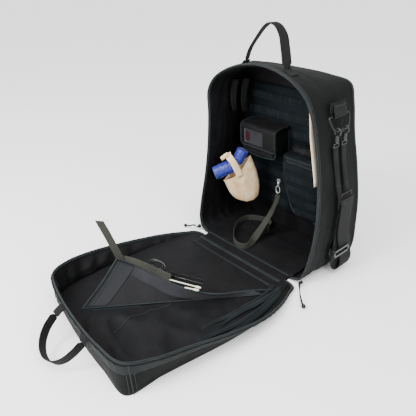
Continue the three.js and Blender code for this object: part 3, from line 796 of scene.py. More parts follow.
def make_zip_pull(side, name):
    body = "zip_pull_" + name
    middle, out = slider_frame(side)
    along = np.cross(out, (0, 1, 0))
    place = turned(middle, along, (0, 1, 0))
    slider = Shape()
    for plate in (4.0, -1.0):
        slider.box((0, 0, plate), (12, 8.5, 2.2), place, 0.9)
    slider.box((0, 0, 1.5), (3, 6, 4), place, 0.4)
    bail = ((-4.5, 0, -2), (-3.5, 0, -4.2), (0, 0, -5), (3.5, 0, -4.2), (4.5, 0, -2))
    slider.tube([place(p) for p in bail], 1.0, 12)
    tab = [place(p) for p in ((0, -1, -4.4), (0, 1.5, -6.4), (0, 5, -7.2), (0, 8, -6.6))]
    slider.ribbon(tab, 5.5, along, 1.1)
    slider.make("slider_" + name, body, "dark_metal", ["zip_slider_" + name], sharp=40)

    start = middle + np.array([side * 4.4, -10.5, 3])
    knot = np.array([292, -62, 7.5] if side > 0 else [-238, -15, 7.5])
    end = 0.92 if side > 0 else 0.85

    def toward(t, dy, dz):
        return mix(start, knot, t) + np.array([0, dy, dz])

    line = Curve([start, toward(0.2, -2, 4), toward(0.45, -4, 2), toward(0.7, -3, 0), toward(end, -1, 0)])
    cord = Shape()
    for strand in (-1, 1):
        def twisted(t, strand=strand):
            a = 1.2 + 2.6 * t
            return line(t) + strand * np.array([1.5 * math.cos(a), 1.5 * math.sin(a), 0.4])
        cord.tube(twisted, 1.5, 30, 6)
    piece = cord.make("pull_cord_" + name, body, "cord", ["zip_cord_" + name])
    bead = Shape()
    centre = knot + np.array([side * 1.5, 0, 0])
    for turn, tilt in ((0.0, 0.5), (2.1, -0.6), (4.2, 0.1)):
        ring = [turn + 2 * math.pi * k / 12 for k in range(13)]
        ring = [(3.6 * math.cos(a), 3.0 * math.sin(a), 2.4 * math.sin(a + tilt)) for a in ring]
        bead.tube([centre + np.array(p) for p in ring], 2.1, 24, 6)
    for strand in (-1, 1):
        tail = ((0, 0, 0), (side * 3.5, 2 * strand, -1), (side * 6.0, 3.5 * strand, -2.5))
        bead.tube([centre + np.array(p) for p in tail], 0.8, 6, 6)
    bead.make("pull_knot_" + name, body, "cord", ["zip_knot_" + name])
    declare_cord(piece, line, 30, diameter=5 * MM, far_end="knot", with_pieces=["pull_knot_" + name])


def ladder_lock(shape, place, w, h, t):
    """A strap adjuster: an outer frame with two bars across it, one of them toothed."""
    shape.box((0, 0, h / 2 - 2), (w, t, 4), place, 1.2)
    shape.box((0, 0, -h / 2 + 2), (w, t * 0.8, 4), place, 1.2)
    shape.box((0, 0, 0), (w - 4, t * 0.9, 3.4), place, 0.8)
    for side in (-1, 1):
        shape.box((side * (w / 2 - 1.7), 0, 0), (3.4, t, h - 3), place, 1.0)
    for k in range(int(w / 3) - 2):
        shape.box((-w / 2 + 4.5 + 3 * k, -t * 0.4, h / 2 - 4), (1.2, 1.0, 1.6), place, 0.3)
    return shape


# ---- the case -----------------------------------------------------------------------------------
def case_wall(s, v, inset=0.0):
    """A point on the case's wall: s runs round the outline, v from the rim to the back."""
    t = s / LAST
    x0, z0 = case_rim(t)
    x1, z1 = case_back(t)
    p = np.array([mix(x0, x1, v), mix(rim_y(z0) + 6, back_y(z1), v), mix(z0, z1, v)])
    if inset:
        dx, dz = case_rim.tangent(t)
        p = p + inset * np.array([dz, 0, -dx])
    return p


def wall_rows(depth, nu, nv, reach=1.0):
    """Rows of wall points, each set back inside the outline by depth(v, point)."""
    def point(u, v):
        s, v = LAST * u, reach * v
        return case_wall(s, v, depth(v, case_wall(s, v)))
    return grid(nu, nv, point)


def make_case():
    def outer(v, p):
        top = smooth(p[2], 420, 520)
        slack = math.sin(math.pi * min(v, 1)) * (1 - 0.6 * top)
        folds = 3.8 * crease(p, (300, 34, 190), 3.1) * slack + 2.2 * ripple(p, (90, 60, 70), 1.7) * slack
        foot = 2.4 * crease(p, (120, 40, 60), 8.3) * (1 - smooth(p[2], 20, 190)) * slack
        return 1.2 - 2.2 * slack + folds + foot

    Shape().slab(wall_rows(outer, 150, 34), 1.6).make(
        "case_shell", "bag", "shell", ["left_side_panel", "top_panel", "right_side_panel"])

    def inner(v, p):
        slack = math.sin(math.pi * min(v * 1.05, 1))
        folds = 5.0 * crease(p, (400, 46, 120), 5.5) + 2.5 * ripple(p, (80, 40, 50), 2.2)
        return 5.5 + slack * folds

    Shape().slab(wall_rows(inner, 150, 30, 0.965), 0.8).make("case_lining", "bag", "lining")

    def floor_point(v, u):
        left = mix(CASE_RIM[0][0], CASE_BACK[0][0], v) - 6
        right = mix(CASE_RIM[-1][0], CASE_BACK[-1][0], v) + 6
        p = (mix(left, right, u), mix(12, DEPTH - 4, v), 0)
        folds = 2.5 * crease(p, (120, 50, 60), 4.4) + 1.5 * ripple(p, (60, 40, 50), 6.1) + 1
        turned_up = 9 * smooth(abs(p[0] - 12) / 185, 0.86, 1.0)
        return p[0], p[1], 5.2 + arch(v) ** 0.5 * folds + turned_up
    Shape().slab(grid(24, 48, floor_point), 0.8).make("case_floor_lining", "bag", "lining")
    make_rim("case", "bag", ["case_zip_tape"])

    piping_radius = 3.4

    def piping_line(t):
        p = in_back((case_back(t)[0], 1.6, case_back(t)[1])) + edge_out(case_back, t, -1.2)
        return np.array([p[0], p[1], max(p[2], piping_radius)])
    Shape().tube(piping_line, piping_radius, 150, 8).make("back_piping", "bag", "binding")
    for off in (6, 9):
        stitches.row("bag", lambda t, off=off: case_wall(2 + 16 * t, off / 235, 0.6),
                     lambda t: wall_out(2 + 16 * t))


def edge_out(curve, t, by):
    dx, dz = curve.tangent(t)
    return np.array([-dz * by, 0, dx * by])


def wall_out(s):
    dx, dz = case_rim.tangent(s / LAST)
    return np.array([-dz, 0, dx])


def case_rim_line(t, inset, forward):
    x, z = case_rim(t)
    dx, dz = case_rim.tangent(t)
    return np.array([x + dz * inset, rim_y(z) + forward, max(z - dx * inset, 3.2)])


def lid_rim_line(t, inset, below):
    x, r = lid_rim(t)
    dx, dr = lid_rim.tangent(t)
    x, r = x + dr * inset, r - dx * inset
    return np.array([x, -max(r, 7.5), max(lid_rim_z(r) - below, 5.2)])


def make_rim(name, body, covers):
    """A rim's zip: bound edge, woven tape and a row of coil teeth."""
    line, facing = (case_rim_line, (0, 1, 0)) if name == "case" else (lid_rim_line, (0, 0, 1))
    count, fine, pitch, step = 220, 900, 2.4, 1e-3
    edge = Shape().tube(lambda t: line(t, 3.6, 6.6), 3.1, count, 10)
    edge.make(name + "_binding", body, "binding", covers)
    tape = Shape().ribbon(lambda t: line(t, 3.4, 2.9), 4.6, facing, 1.0, count)
    tape.make(name + "_zip_tape_edge", body, "tape")
    teeth = Shape()

    def coil(t):
        return line(t, 3.4, 1.0)
    along = run_lengths([coil(i / fine) for i in range(fine + 1)])
    for k in range(int(along[-1] / pitch)):
        t = float(np.interp(k * pitch, along, np.linspace(0, 1, fine + 1)))
        forward = unit(coil(min(t + step, 1)) - coil(max(t - step, 0)))
        teeth.box((0, 0, 0), (1.3, 2.4, 1.6), turned(coil(t), forward, facing), 0.4)
    teeth.make(name + "_zip_coil", body, "coil")


def loft_rows(outline, count, place, inset, start, stop):
    """Rows across an outline, from its foot to its top, with both ends of each drawn in by inset."""
    def point(u, v):
        s = mix(start, stop, u)
        return place(mix(outline(s / LAST), outline((LAST - s) / LAST), mix(inset, 1 - inset, v)))
    return grid(count, count, point)


def make_back():
    pad = Shape()
    rows = loft_rows(case_back, 44, lambda q: in_back((q[0], 1.0 + back_swell(q), q[1])), 0.004, 0.0, 9.9)
    pad.slab(rows, 1.5).make("back_panel_cover", "bag", "shell", ["back_panel"])
    inside = loft_rows(case_back, 30, lambda q: in_back((q[0], 0.2, q[1])), 0.01, 0.0, 9.9)
    Shape().slab(inside, 1.0).make("back_inner_lining", "bag", "lining")
    spine = Shape()
    for k in range(9):
        foot = 92 + 44 * k - 19
        spine.slab(grid(8, 10, lambda u, v: in_back(
            (mix(-23, 23, v), 7.0 + 3.4 * (arch(u) * arch(v)) ** 0.5, foot + 38 * u))), 1.0)
    spine.make("spine_mesh_pad", "bag", "foam")
    for x in (-26, 26):
        stitches.row("bag", [in_back((x, 7.2, z)) for z in (72, 300, 452)], (0, 1, 0))


def back_swell(q):
    """The back panel's padding, full in the middle and drawn in at the piping."""
    x, z = (q[0] - 6) / 215, (q[1] - 270) / 262
    flat = max(0.0, 1 - abs(x) ** 5) * max(0.0, 1 - abs(z) ** 6)
    return 5.4 * flat ** 0.6 - 0.6 + 0.5 * ripple((q[0], 0, q[1]), (90, 1, 70), 9.0)


# ---- inside the case ----------------------------------------------------------------------------
MOLLE_FACE = -4.5


def molle_edge(z):
    """Left and right edge of the MOLLE panel at that height."""
    edges = ((-190, -188, -186, -162), (200, 196, 180, 158))
    return tuple(float(np.interp(z, (60, 200, 330, 480), edge)) for edge in edges)


def make_molle():
    def backing(u, v):
        z = mix(60, 480, u)
        x = mix(*molle_edge(z), v)
        return in_back((x, MOLLE_FACE + 0.6 + 0.7 * ripple((x, 0, z), (60, 1, 50), 3.3), z))
    Shape().slab(grid(40, 40, backing), 1.4).make("molle_backing", "bag", "molle", ["molle_panel"])
    webs = Shape()
    bar = 38
    for z in (92, 142, 192, 242, 292, 342, 392, 442):
        left, right = molle_edge(z)
        left, right = left + 6, right - 6

        def line(t, z=z, left=left, right=right):
            x = mix(left, right, t)
            lift = abs(math.sin(math.pi * (x - left) / bar)) ** 0.6
            return in_back((x, MOLLE_FACE - 1.6 - 2.2 * lift, z))
        webs.ribbon(line, WEBBING, UP_THE_BACK, 1.6, 120)
        for k in range(int((right - left) / bar) + 1):
            for x in (left + bar * k, left + bar * k + 2):
                stitches.row("bag", [in_back((x, MOLLE_FACE - 2.6, z + h)) for h in (-11, 0, 11)], (0, -1, 0))
    webs.make("molle_rows", "bag", "molle_webbing")


def make_medical_pouch():
    x0, x1, z0, z1, depth = -142, -6, 270, 364, 70
    back = MOLLE_FACE - 0.5
    front = back - depth - 1
    plump("medical_pouch_body", "medical_pouch", "bag", "lining", 5, 3, 4, 3.0)
    piping = Shape()
    loop = [(x0 + 3, z1 - 10), (x0 + 3, z0 + 12), (x0 + 12, z0 + 3),
            (x1 - 12, z0 + 3), (x1 - 3, z0 + 12), (x1 - 3, z1 - 10)]
    for y in (front + 5, back - 4):
        piping.tube([in_back((x, y, z)) for x, z in loop], 2.2, 40)
    piping.make("medical_pouch_piping", "bag", "binding")

    def flap_point(u, v, out=0.0):
        """The flap: from the pouch's back edge, over the top and down the front."""
        path = Curve([(back - 1, z1 + 2.2), (back - 30, z1 + 4.2), (front + 8, z1 + 3.4),
                      (front - 1.6, z1 - 4), (front - 3.0, z1 - 34), (front - 2.2, z1 - 66)])
        y, z = path(v)
        x = mix(x0 - 1, x1 + 1, u)
        y -= 1.6 * arch(u) * smooth(v, 0.4, 0.8) + out
        z += 1.4 * ripple((x, y, z), (40, 30, 30), 5.0) * (1 - smooth(v, 0.5, 0.7))
        return in_back((x, y, z))
    cloth = Shape().slab(grid(30, 24, lambda v, u: flap_point(u, v)), 1.6)
    cloth.make("medical_flap_cloth", "pouch_flap", "lining", ["pouch_flap"])
    side = (0.06, 0.3, 0.5, 0.62, 0.8, 0.97)
    rim = [flap_point(0, v, 0.2) for v in side]
    rim += [flap_point(u, 1.0, 0.2) for u in (0.03, 0.25, 0.5, 0.75, 0.97)]
    rim += [flap_point(1, v, 0.2) for v in side[::-1]]
    Shape().tube(rim, 2.1, 110).make("medical_flap_binding", "pouch_flap", "binding")

    def on_flap(x, z, out):
        u = (x - x0 + 1) / (x1 - x0 + 2)
        v = float(np.interp(z1 - z, (4, 34, 66), (0.6, 0.8, 1.0)))
        return flap_point(u, v, out)
    field = grid(8, 8, lambda v, u: on_flap(mix(-127, -50, u), mix(z1 - 14, z1 - 57, v), 1.4))
    Shape().slab(field, 1.0).make("flap_loop_field", "pouch_flap", "loop", ["flap_patch"])

    def oval(v, u):
        half = 8.5 * arch(v) ** 0.7 + 0.2
        return on_flap(-112 + half * (2 * u - 1), z1 - 34 + 16 * math.cos(math.pi * v), 2.3)
    Shape().slab(grid(8, 4, oval), 0.6).make("flap_plain_mark", "pouch_flap", "mark")
    band = grid(1, 12, lambda v, u: on_flap(mix(x0 + 3, x1 - 3, u), z1 - 63 + 5 * v, 0.8))
    Shape().slab(band, 0.8).make("flap_lip_band", "pouch_flap", "webbing")
    front_web = Shape()
    for z in (z0 + 12, z0 + 24):
        front_web.ribbon([in_back((x, front + 0.2, z)) for x in (x0 + 8, -100, -74, -48, x1 - 8)], 9,
                         UP_THE_BACK, 1.4)
    front_web.make("medical_pouch_webs", "bag", "webbing")


def make_utility_pouch():
    pouch = plump("utility_pouch_body", "utility_pouch", "bag", "molle", 5, 3, 5, 2.5)
    hit = surface_of(pouch)
    face = MOLLE_FACE - 0.5 - 57

    def on_front(x, z, out=1.0):
        found = hit(in_back((x, face - 40, z)), (0, 1, 0))
        p = in_back((x, face, z)) if found is None else found
        return p + np.array([0, -out, 0])
    webs = Shape()
    for z, left, right in ((268, 16, 150), (232, 18, 150), (196, 22, 150), (160, 34, 150), (126, 60, 148)):
        web = [on_front(mix(left, right, k / 9), z, 1.6 if k % 2 else 0.8) for k in range(10)]
        webs.ribbon(web, 20, UP_THE_BACK, 1.5, 54)
    webs.make("utility_pouch_webs", "bag", "molle_webbing")
    piping = Shape()
    for z in (292, 282):
        piping.tube([on_front(mix(12, 154, k / 6), z, 0.4) for k in range(7)], 2.4, 40)
    side = [(15, 272), (16, 240), (17, 210), (36, 156), (68, 114), (110, 106), (146, 104)]
    piping.tube([on_front(x, z, 0.4) for x, z in side], 2.2, 40)
    piping.make("utility_pouch_piping", "bag", "binding")
    stitches.row("bag", [on_front(mix(16, 150, k / 6), 287, 0.4) for k in range(7)], (0, -1, 0))
    filling = plump("pouch_filling_bundle", "pouch_filling", "bag", "lining", 4, 3, 5, 1.0)
    crumple(filling, 4.5, (26, 20, 16), 7.0)


def crumple(piece, by, size, seed):
    """Moves a finished soft piece's points along their normals in folds."""
    co = coordinates(piece.data)
    lift = np.array([crease(p / MM, size, seed) - 0.4 for p in co])
    set_coordinates(piece.data, co + normals_of(piece.data) * (lift * by * MM)[:, None])


HOLDER_TURN = math.atan2(0.8, 0.6)


def in_holder(p):
    """From the roll holder's frame, x along its face and y into it, to design coordinates."""
    c, s = math.cos(HOLDER_TURN), math.sin(HOLDER_TURN)
    return np.array([-120 + p[0] * c - p[1] * s, 110 + p[0] * s + p[1] * c, 12 + p[2]])


def roll(name, node, x, z, length, radius, tilt):
    """A roll of wrapping film: a crinkled sleeve with layered ends."""
    axis = np.array([math.sin(tilt), 0, math.cos(tilt)])
    side = np.array([math.cos(tilt), 0, -math.sin(tilt)])
    depth = np.array([0, 1, 0])
    centre = np.array([x, -2, z])
    end = [(0.0, 0.25), (0.0, 0.55), (0.012, 0.6), (0.0, 0.66),
           (0.014, 0.78), (0.0, 0.84), (0.02, 0.94), (0.05, 1.0)]
    profile = end + [(0.1 + 0.8 * k / 22, 1.0) for k in range(23)] + [(1 - s, r) for s, r in end[::-1]]
    points = []
    for share, r in profile:
        p = centre + axis * (share - 0.5) * length
        ring = []
        for a in around(40):
            q = (share * 3, math.cos(a), math.sin(a))
            swell = 1 - 0.05 * crease(q, (0.5, 0.6, 0.6), 2.0) * (r > 0.9)
            swell += 0.02 * ripple(q, (0.2, 0.4, 0.4), 5.0)
            ring.append(in_holder(p + (side * math.cos(a) + depth * math.sin(a)) * radius * r * swell))
        points.append(ring)
    Shape().rings(points).make(name, "bag", "blue", [node])


def make_roll_holder():
    roll("blue_roll_front", "blue_roll_lower", -48, 206, 62, 22, 1.15)
    roll("blue_roll_back", "blue_roll_upper", 4, 250, 46, 19, 0.45)
    left = Curve([(-46, 168), (-34, 142), (-24, 122), (-4, 100), (14, 93), (28, 91)])
    right = Curve([(38, 250), (52, 218), (64, 184), (72, 140), (66, 104), (32, 91)])

    def front(t, w):
        x, z = mix(left(t), right(t), w)
        dip = 16 * arch(w) * (1 - t) ** 3
        swell = 19 * arch(w) ** 0.6 * (1 - 0.55 * t ** 3)
        folds = 1.8 * ripple((x, 0, z), (22, 1, 40), 2.7) * arch(w)
        return in_holder((x, -2 - swell - folds, z - dip))

    def back(t, w):
        x, z = mix(left(t), right(t), w)
        return in_holder((x, 12 * arch(w) ** 0.6, z))
    rows = grid(40, 24, front)
    cloth = Shape().slab(rows, 2.0).slab(grid(24, 12, back), -1.6)
    cloth.tube([p - 0.6 * (rows[3][12] - rows[0][12]) / 10 for p in rows[0]], 1.7, 60, 6)
    for column in (7, 18):
        cloth.tube([row[column] + np.array([0, -0.5, 0]) for row in rows], 0.7, 60, 6)
    cloth.make("roll_holder_cloth", "bag", "beige", ["roll_holder"])
    band = [(-36, -8, 262), (-36, -20, 259), (-30, -27, 252), (-20, -30, 238), (-8, -28, 214), (4, -24, 190)]
    tab = [(-37, -22, 266), (-44, -24, 262), (-52, -22, 255), (-57, -18, 249)]
    for name, line, width, across, *section, covers in (
            ("roll_holder_band", band, 21, (0.86, 0, 0.5), 2.0, 36, 0.8, ["roll_holder_strap"]),
            ("roll_holder_tab", tab, 13, (0.5, 0, -0.86), 3.6, 14, 0.8, [])):
        strip = Shape().ribbon([in_holder(p) for p in line], width, in_holder(across) - in_holder((0, 0, 0)),
                               *section)
        strip.make(name, "bag", "beige", covers)


def make_loose_kit():
    rows = []
    for v in (i / 16 for i in range(17)):
        z = mix(294, 484, v)
        wall = case_rim((13.2 + (1 - v) * 2.1) / LAST)[0]
        rows.append([(wall - 22.5 - 4.5 * arch(v) + 0.8 * ripple((0, u * 90, z), (1, 40, 40), 4.0),
                      rim_y(z) + 8.5 + 90 * u, z) for u in (0, 0.1, 0.3, 0.5, 0.7, 0.9, 1)])
    Shape().slab(rows, 2.2).make("splint_card", "bag", "card", ["splint_sheet"])

    def hang(name, node, x, y, foot):
        path = [(x, y, 488), (x - 3, y - 5, 450), (x + 2, y - 9, foot + 30), (x + 4, y - 4, foot + 2)]

        def across(t, forward):
            return math.cos(0.7 + 0.9 * t), math.sin(0.7 + 0.9 * t), 0
        Shape().ribbon(path, 20, across, 2, 40).make(name, "bag", "webbing", [node])
    hang("hanging_strap_front", "compression_strap_front", -168, 138, 392)
    hang("hanging_strap_rear", "compression_strap_rear", -156, 172, 384)

    hook = Shape()
    place = turned((4, 164, 158), (1, 0, 0), (0, 0, 1))
    loop = [(-2.5, 0, 24), (-7.5, 0, 18), (-7.8, 0, 8), (-4, 0, 1.5), (1.5, 0, 0.4), (6.5, 0, 4),
            (7.4, 0, 10)]
    hook.tube([place(p) for p in loop], 1.9, 30)
    hook.tube([place(p) for p in ((7.2, 0, 10.5), (6.6, 0, 16), (3, 0, 23))], 1.5, 10)
    barrel = [(0.6, 22), (3.4, 23), (4.2, 26), (3.6, 30), (4.4, 32), (4.4, 36), (3.0, 38), (0.6, 39)]
    hook.lathe(barrel, place)
    ring = [place((5 * math.cos(a), 0, 43 + 4.6 * math.sin(a))) for a in (math.pi * k / 6 for k in range(13))]
    hook.tube(ring, 1.2, 24, 6)
    hook.make("lanyard_snap", "bag", "pale_metal", ["lanyard_hook"], sharp=50)


# ---- carrying gear outside ----------------------------------------------------------------------
def make_handles():
    plan = [(-70, 0, 0.6), (-67, 0, 12), (-57, -1, 34), (-33, -2, 66), (-8, -1, 95), (10, 0, 104.5),
            (30, 1, 100), (48, 2, 80), (58, 1, 52), (66, 0, 22), (70, 0, 0.6)]
    line = [(p[0], 78 + p[1], 564.5 + p[2]) for p in plan]

    def twist(t, forward):
        a = mix(-0.3, 0.7, smooth(t, 0.25, 0.85))
        return (math.sin(a), math.cos(a), 0)

    def width(t):
        return mix(12, WEBBING, smooth(min(t, 1 - t), 0, 0.06))
    shape = Shape().ribbon(line, width, twist, 2.6, 110)
    shape.make("top_handle_webbing", "top_handle", "webbing", ["top_handle"])
    for side, name in SIDES:
        foot = [(side * x, 78, case_top(side * x, 78) + lift) for x, lift in ((96, 1.4), (82, 1.6), (73, 5))]
        tab = Shape().ribbon([*foot, (side * 70, 78, 566)], WEBBING + 4, (0, 1, 0), 2.2)
        tab.make("handle_anchor_" + name, "bag", "webbing")

    tilt = math.pi / 2 + 0.62
    place = turned((17, -580, 66), (1, 0, 0), (0, -math.sin(tilt), math.cos(tilt)))
    plan = [(-64, 0, 0.5), (-63, 0, 12), (-58, 0, 34), (-44, -1, 58), (-20, 0, 74), (8, 1, 79), (34, 0, 72),
            (52, 0, 54), (61, 0, 30), (64, 0, 10), (64, 0, 0.5)]
    across = np.array([0, math.cos(tilt), math.sin(tilt)])
    shape = Shape().ribbon([place(p) for p in plan], width, across, 2.6, 110)
    shape.make("lid_handle_webbing", "lid_handle", "webbing", ["lid_handle"])
    for side, name in SIDES:
        x = 17 + side * 64
        face = [lid_wall_at_x(x, v) for v in (0.95, 0.8, 0.62)]
        line = [p + np.array([0, -2.0, 0]) for p in face[::-1]]
        line += [mix(line[-1], np.array([x, -580, 66]), 0.5) + np.array([0, 0, 2]), np.array([x, -580, 66])]
        tab = Shape().ribbon(line, WEBBING + 1, (1, 0, 0), 2.2)
        tab.make("lid_handle_anchor_" + name, "lid", "webbing")


def case_top(x, y):
    """Height of the case's top at that place."""
    s = min((abs(case_rim(k / 400)[0] - x), k) for k in range(120, 281))[1] / 400 * LAST
    z0, z1 = case_rim(s / LAST)[1], case_back(s / LAST)[1]
    v = (y - rim_y(z0)) / (back_y(z1) - rim_y(z0))
    return mix(z0, z1, v) + 1.0


def lid_wall_at_x(x, v):
    """A point on the lid's end wall."""
    k = min((abs(lid_rim(k / 400)[0] - x), k) for k in range(150, 250))[1]
    return lid_wall(k / 400 * LAST, v)


RING_Y, RING_Z = 128, 462


def ring_place(side):
    v = RING_Y / DEPTH
    x = mix(194, 196, v) + (468 - RING_Z) * 0.3 if side > 0 else -mix(-191, -200, v) + (468 - RING_Z) * 0.05
    return lambda p: np.array([side * (x + 9 + p[0]), RING_Y + p[1], RING_Z + p[2]])


def make_side_ring(side, name, tilt):
    place = ring_place(side)
    loop = [(-5, 0, 30), (-3.6, 0, 16), (-4.0, 0, 6), (-3.2, 0, -2), (1.5, 0, -5),
            (6.2, 0, -1.5), (6.4, 0, 4), (3.0, 0, 14), (-0.6, 0, 30)]
    anchor = Shape().ribbon([place(p) for p in loop], 54, (0, 1, 0), 1.9, 60)
    anchor.box((0, 0, 0), (2.2, 60, 26), lambda p: place((p[0] - 6.6, p[1], p[2] + 20)), 0.8)
    anchor.make("ring_webbing_" + name, "bag", "webbing", ["ring_anchor_" + name])
    for z in (12, 26):
        stitches.row("bag", [place((0.6, y, z)) for y in (-24, 0, 24)], (side, 0, 0), 1.6)
    ring = Shape()
    plan = [(0, 0), (42, 0), (43.5, -4), (41, -13), (35, -27), (25, -33.6), (12, -34), (0, -34)]
    path = [place((1.5 - tilt * z, y, z)) for y, z in plan]
    path += [place((1.5 - tilt * z, -y, z)) for y, z in plan[-2::-1]]
    ring.tube(path, 2.5, 90, 10)
    ring.make("d_ring_" + name, "side_ring_" + name, "dark_metal", ["side_ring_" + name])


def make_sling():
    place = ring_place(1)

    def hook(name, node, y):
        shape = Shape()
        x, z = 15.4, -37.2
        arc = [math.radians(d) for d in range(-150, 151, 20)]
        shape.tube([place((x + 9 * math.sin(a), y, z + 9 * math.cos(a))) for a in arc], 2.3, 40, 10)
        gate = [(4.4, -8), (8.4, -3), (8.8, 3)]
        shape.tube([place((x + dx, y, z + dz)) for dx, dz in gate], 1.9, 10)
        turned_up = turned(place((x, y, 0)), (1, 0, 0), (0, 0, 1))
        swivel = [(1, -8), (4.2, -9), (5.2, -12), (4.6, -16), (5.4, -19), (5.4, -25), (4.4, -28), (3.0, -30),
                  (1, -31)]
        shape.lathe([(r, z + dz) for r, dz in swivel], turned_up)
        for dy in (-10.5, 10.5):
            shape.box((0, dy, z - 35), (4.6, 3, 11), turned_up, 1.0)
        for dz in (-30.5, -39.5):
            shape.box((0, 0, z + dz), (4.6, 23, 2.6), turned_up, 0.9)
        shape.make(name, "sling", "plastic", [node], sharp=45)
    hook("swivel_hook_front", "snap_hook_front", -19)
    hook("swivel_hook_rear", "snap_hook_rear", 17)

    def web(name, node, y):
        path = [(15.4, y, -76), (18, y, -92), (26, y, -130), (40, y, -180), (51, y, -214), (53, y, -238)]
        inner = [(p[0] - 1.9, p[1], p[2]) for p in path]
        shape = Shape().ribbon([place(p) for p in path], 20, (0, 1, 0), 1.7, 50)
        shape.ribbon([place(p) for p in inner[:4]], 20, (0, 1, 0), 1.6, 30)
        shape.make(name, "sling", "webbing", [node])
        for k in (0.55, 0.8):
            row = [place((31 + 12 * k + 2, y + d, -150 - 50 * k)) for d in (-7, 0, 7)]
            stitches.row("sling", row, (1, 0, 0), 0.4)
    web("sling_leg_front", "sling_web_front", -19)
    web("sling_leg_rear", "sling_web_rear", 17)

    middle, layer, y = 54, 3.75, 6
    heights = (-214, -262, -320, -360, -404)
    front = [(middle - layer + 0.7 * math.sin(k), y, z) for k, z in enumerate(heights)]
    bend = [(-6.4, 5, -424), (-4, 12, -440), (0, 20, -446), (4, 28, -440), (6.4, 32, -424)]
    bend = [(middle + dx, y + dy, z) for dx, dy, z in bend]
    rear = [(middle + layer, y + 32 * smooth(-z, 300, 420), z) for z in heights[::-1]]
    shape = Shape().ribbon([place(p) for p in front + bend + rear], 57, (0, 1, 0), 2.2, 150)
    shape.box((0, 0, 0), (9.6, 60, 12), lambda p: place((middle + p[0], y + p[1], p[2] - 221)), 2.0)
    shape.make("sling_wide_strap", "sling", "webbing", ["sling_strap"])
    loop = Shape()
    at = turned(place((middle - 3, y, -207)), (0, 1, 0), (0, 0, 1))
    for height in (-6, 6):
        loop.tube([at((w, 0, height)) for w in (-22, -8, 8, 22)], 1.9, 16, 8)
    for w in (-22, 22):
        loop.tube([at((w, 0, h)) for h in (-6, 0, 6)], 1.9, 8, 8)
    loop.make("sling_joining_loop", "sling", "dark_metal")
    for z in (-217, -225):
        stitches.row("sling", [place((middle + 5.0, y + d, z)) for d in (-26, 0, 26)], (1, 0, 0), 0.3)

    glide = Shape()
    at = turned(place((middle, y, -381)), (0, 1, 0), (0, 0, 1))
    for depth in (-8.2, 8.2):
        for height in (-8.5, 8.5):
            glide.box((0, depth, height), (72, 3.4, 6.5), at, 1.4)
        for w in (-33, 33):
            glide.box((w, depth, 0), (6, 3.4, 22), at, 1.4)
    for w in (-34, 34):
        glide.box((w, 0, 0), (3.6, 14, 22), at, 1.2)
    glide.tube([at((w, 0, 0.4)) for w in (-34, -10, 10, 34)], 1.5, 16, 8)
    glide.make("wide_triglide", "sling_triglide", "glossy", ["sling_triglide"], sharp=40)


def make_harness():
    plump("yoke_pad", "shoulder_yoke", "bag", "foam", 5, 3, 4, 1.0)
    binding = Shape()
    loop = [(-84, 462), (-92, 472), (-92, 514), (-84, 524), (84, 524), (92, 514), (92, 472), (84, 462)]
    binding.tube([in_back((x, 10.5, z)) for x, z in [*loop, loop[0]]], 2.6, 120)
    for side, name in SIDES:
        plump("shoulder_pad_" + name, "shoulder_strap_" + name, "bag", "foam", 5, 4, 5, 1.0)
        spine = [(54, 14, 450), (62, 25, 418), (84, 34, 340), (104, 30, 250), (118, 16, 176)]
        spine = [(side * x, y, z) for x, y, z in spine]
        for edge in (-29, 29):
            line = [in_back((x + edge * 0.98, y + 0.5, z + side * edge * 0.2)) for x, y, z in spine]
            binding.tube(line, 2.4, 50)
        top = [in_back((x, y + 8.2, z)) for x, y, z in spine]
        rider = Shape().ribbon(top, WEBBING, (1, 0, side * 0.2), 1.8, 50)
        rider.make("shoulder_rider_" + name, "bag", "webbing")
        web = [(121, 12, 166), (124, 13, 148), (136, 12.5, 110), (152, 11, 66), (164, 9.6, 34)]
        web = [in_back((side * x, y, z)) for x, y, z in web]
        strap = Shape().ribbon(web, WEBBING, (1, 0, side * 0.35), 1.9, 40)
        strap.make("adjusting_web_" + name, "bag", "webbing", ["strap_web_" + name])
        c, s = math.cos(side * 0.3), math.sin(side * 0.3)
        at = turned(in_back((side * 120, 13.5, 162)), (c, 0, s), (-s, 0, c))
        lock = ladder_lock(Shape(), lambda p: at((p[0], -p[1], p[2])), 36, 26, 6)
        lock.make("ladder_lock_" + name, "bag", "plastic", ["strap_adjuster_" + name], sharp=40)
    binding.make("harness_binding", "bag", "binding")


# ---- the lid ------------------------------------------------------------------------------------
def lid_wall(s, v, inset=0.0):
    t = s / LAST
    x0, r0 = lid_floor(t)
    x1, r1 = lid_rim(t)
    top = max(lid_rim_z(r1) - 6, 1.0)
    p = np.array([mix(x0, x1, v), -mix(r0, r1, v), mix(0.3, top, v)])
    if inset:
        dx, dr = lid_rim.tangent(t)
        p = p + inset * np.array([dr, dx, 0])
    return p


def lid_rows(depth, nu, nv, foot=0.0):
    """Rows of points on the lid's wall, from foot up to its rim, each set back by depth(s, v)."""
    def point(u, v):
        s, v = LAST * u, mix(foot, 1, v)
        return lid_wall(s, v, depth(s, v))
    return grid(nu, nv, point)


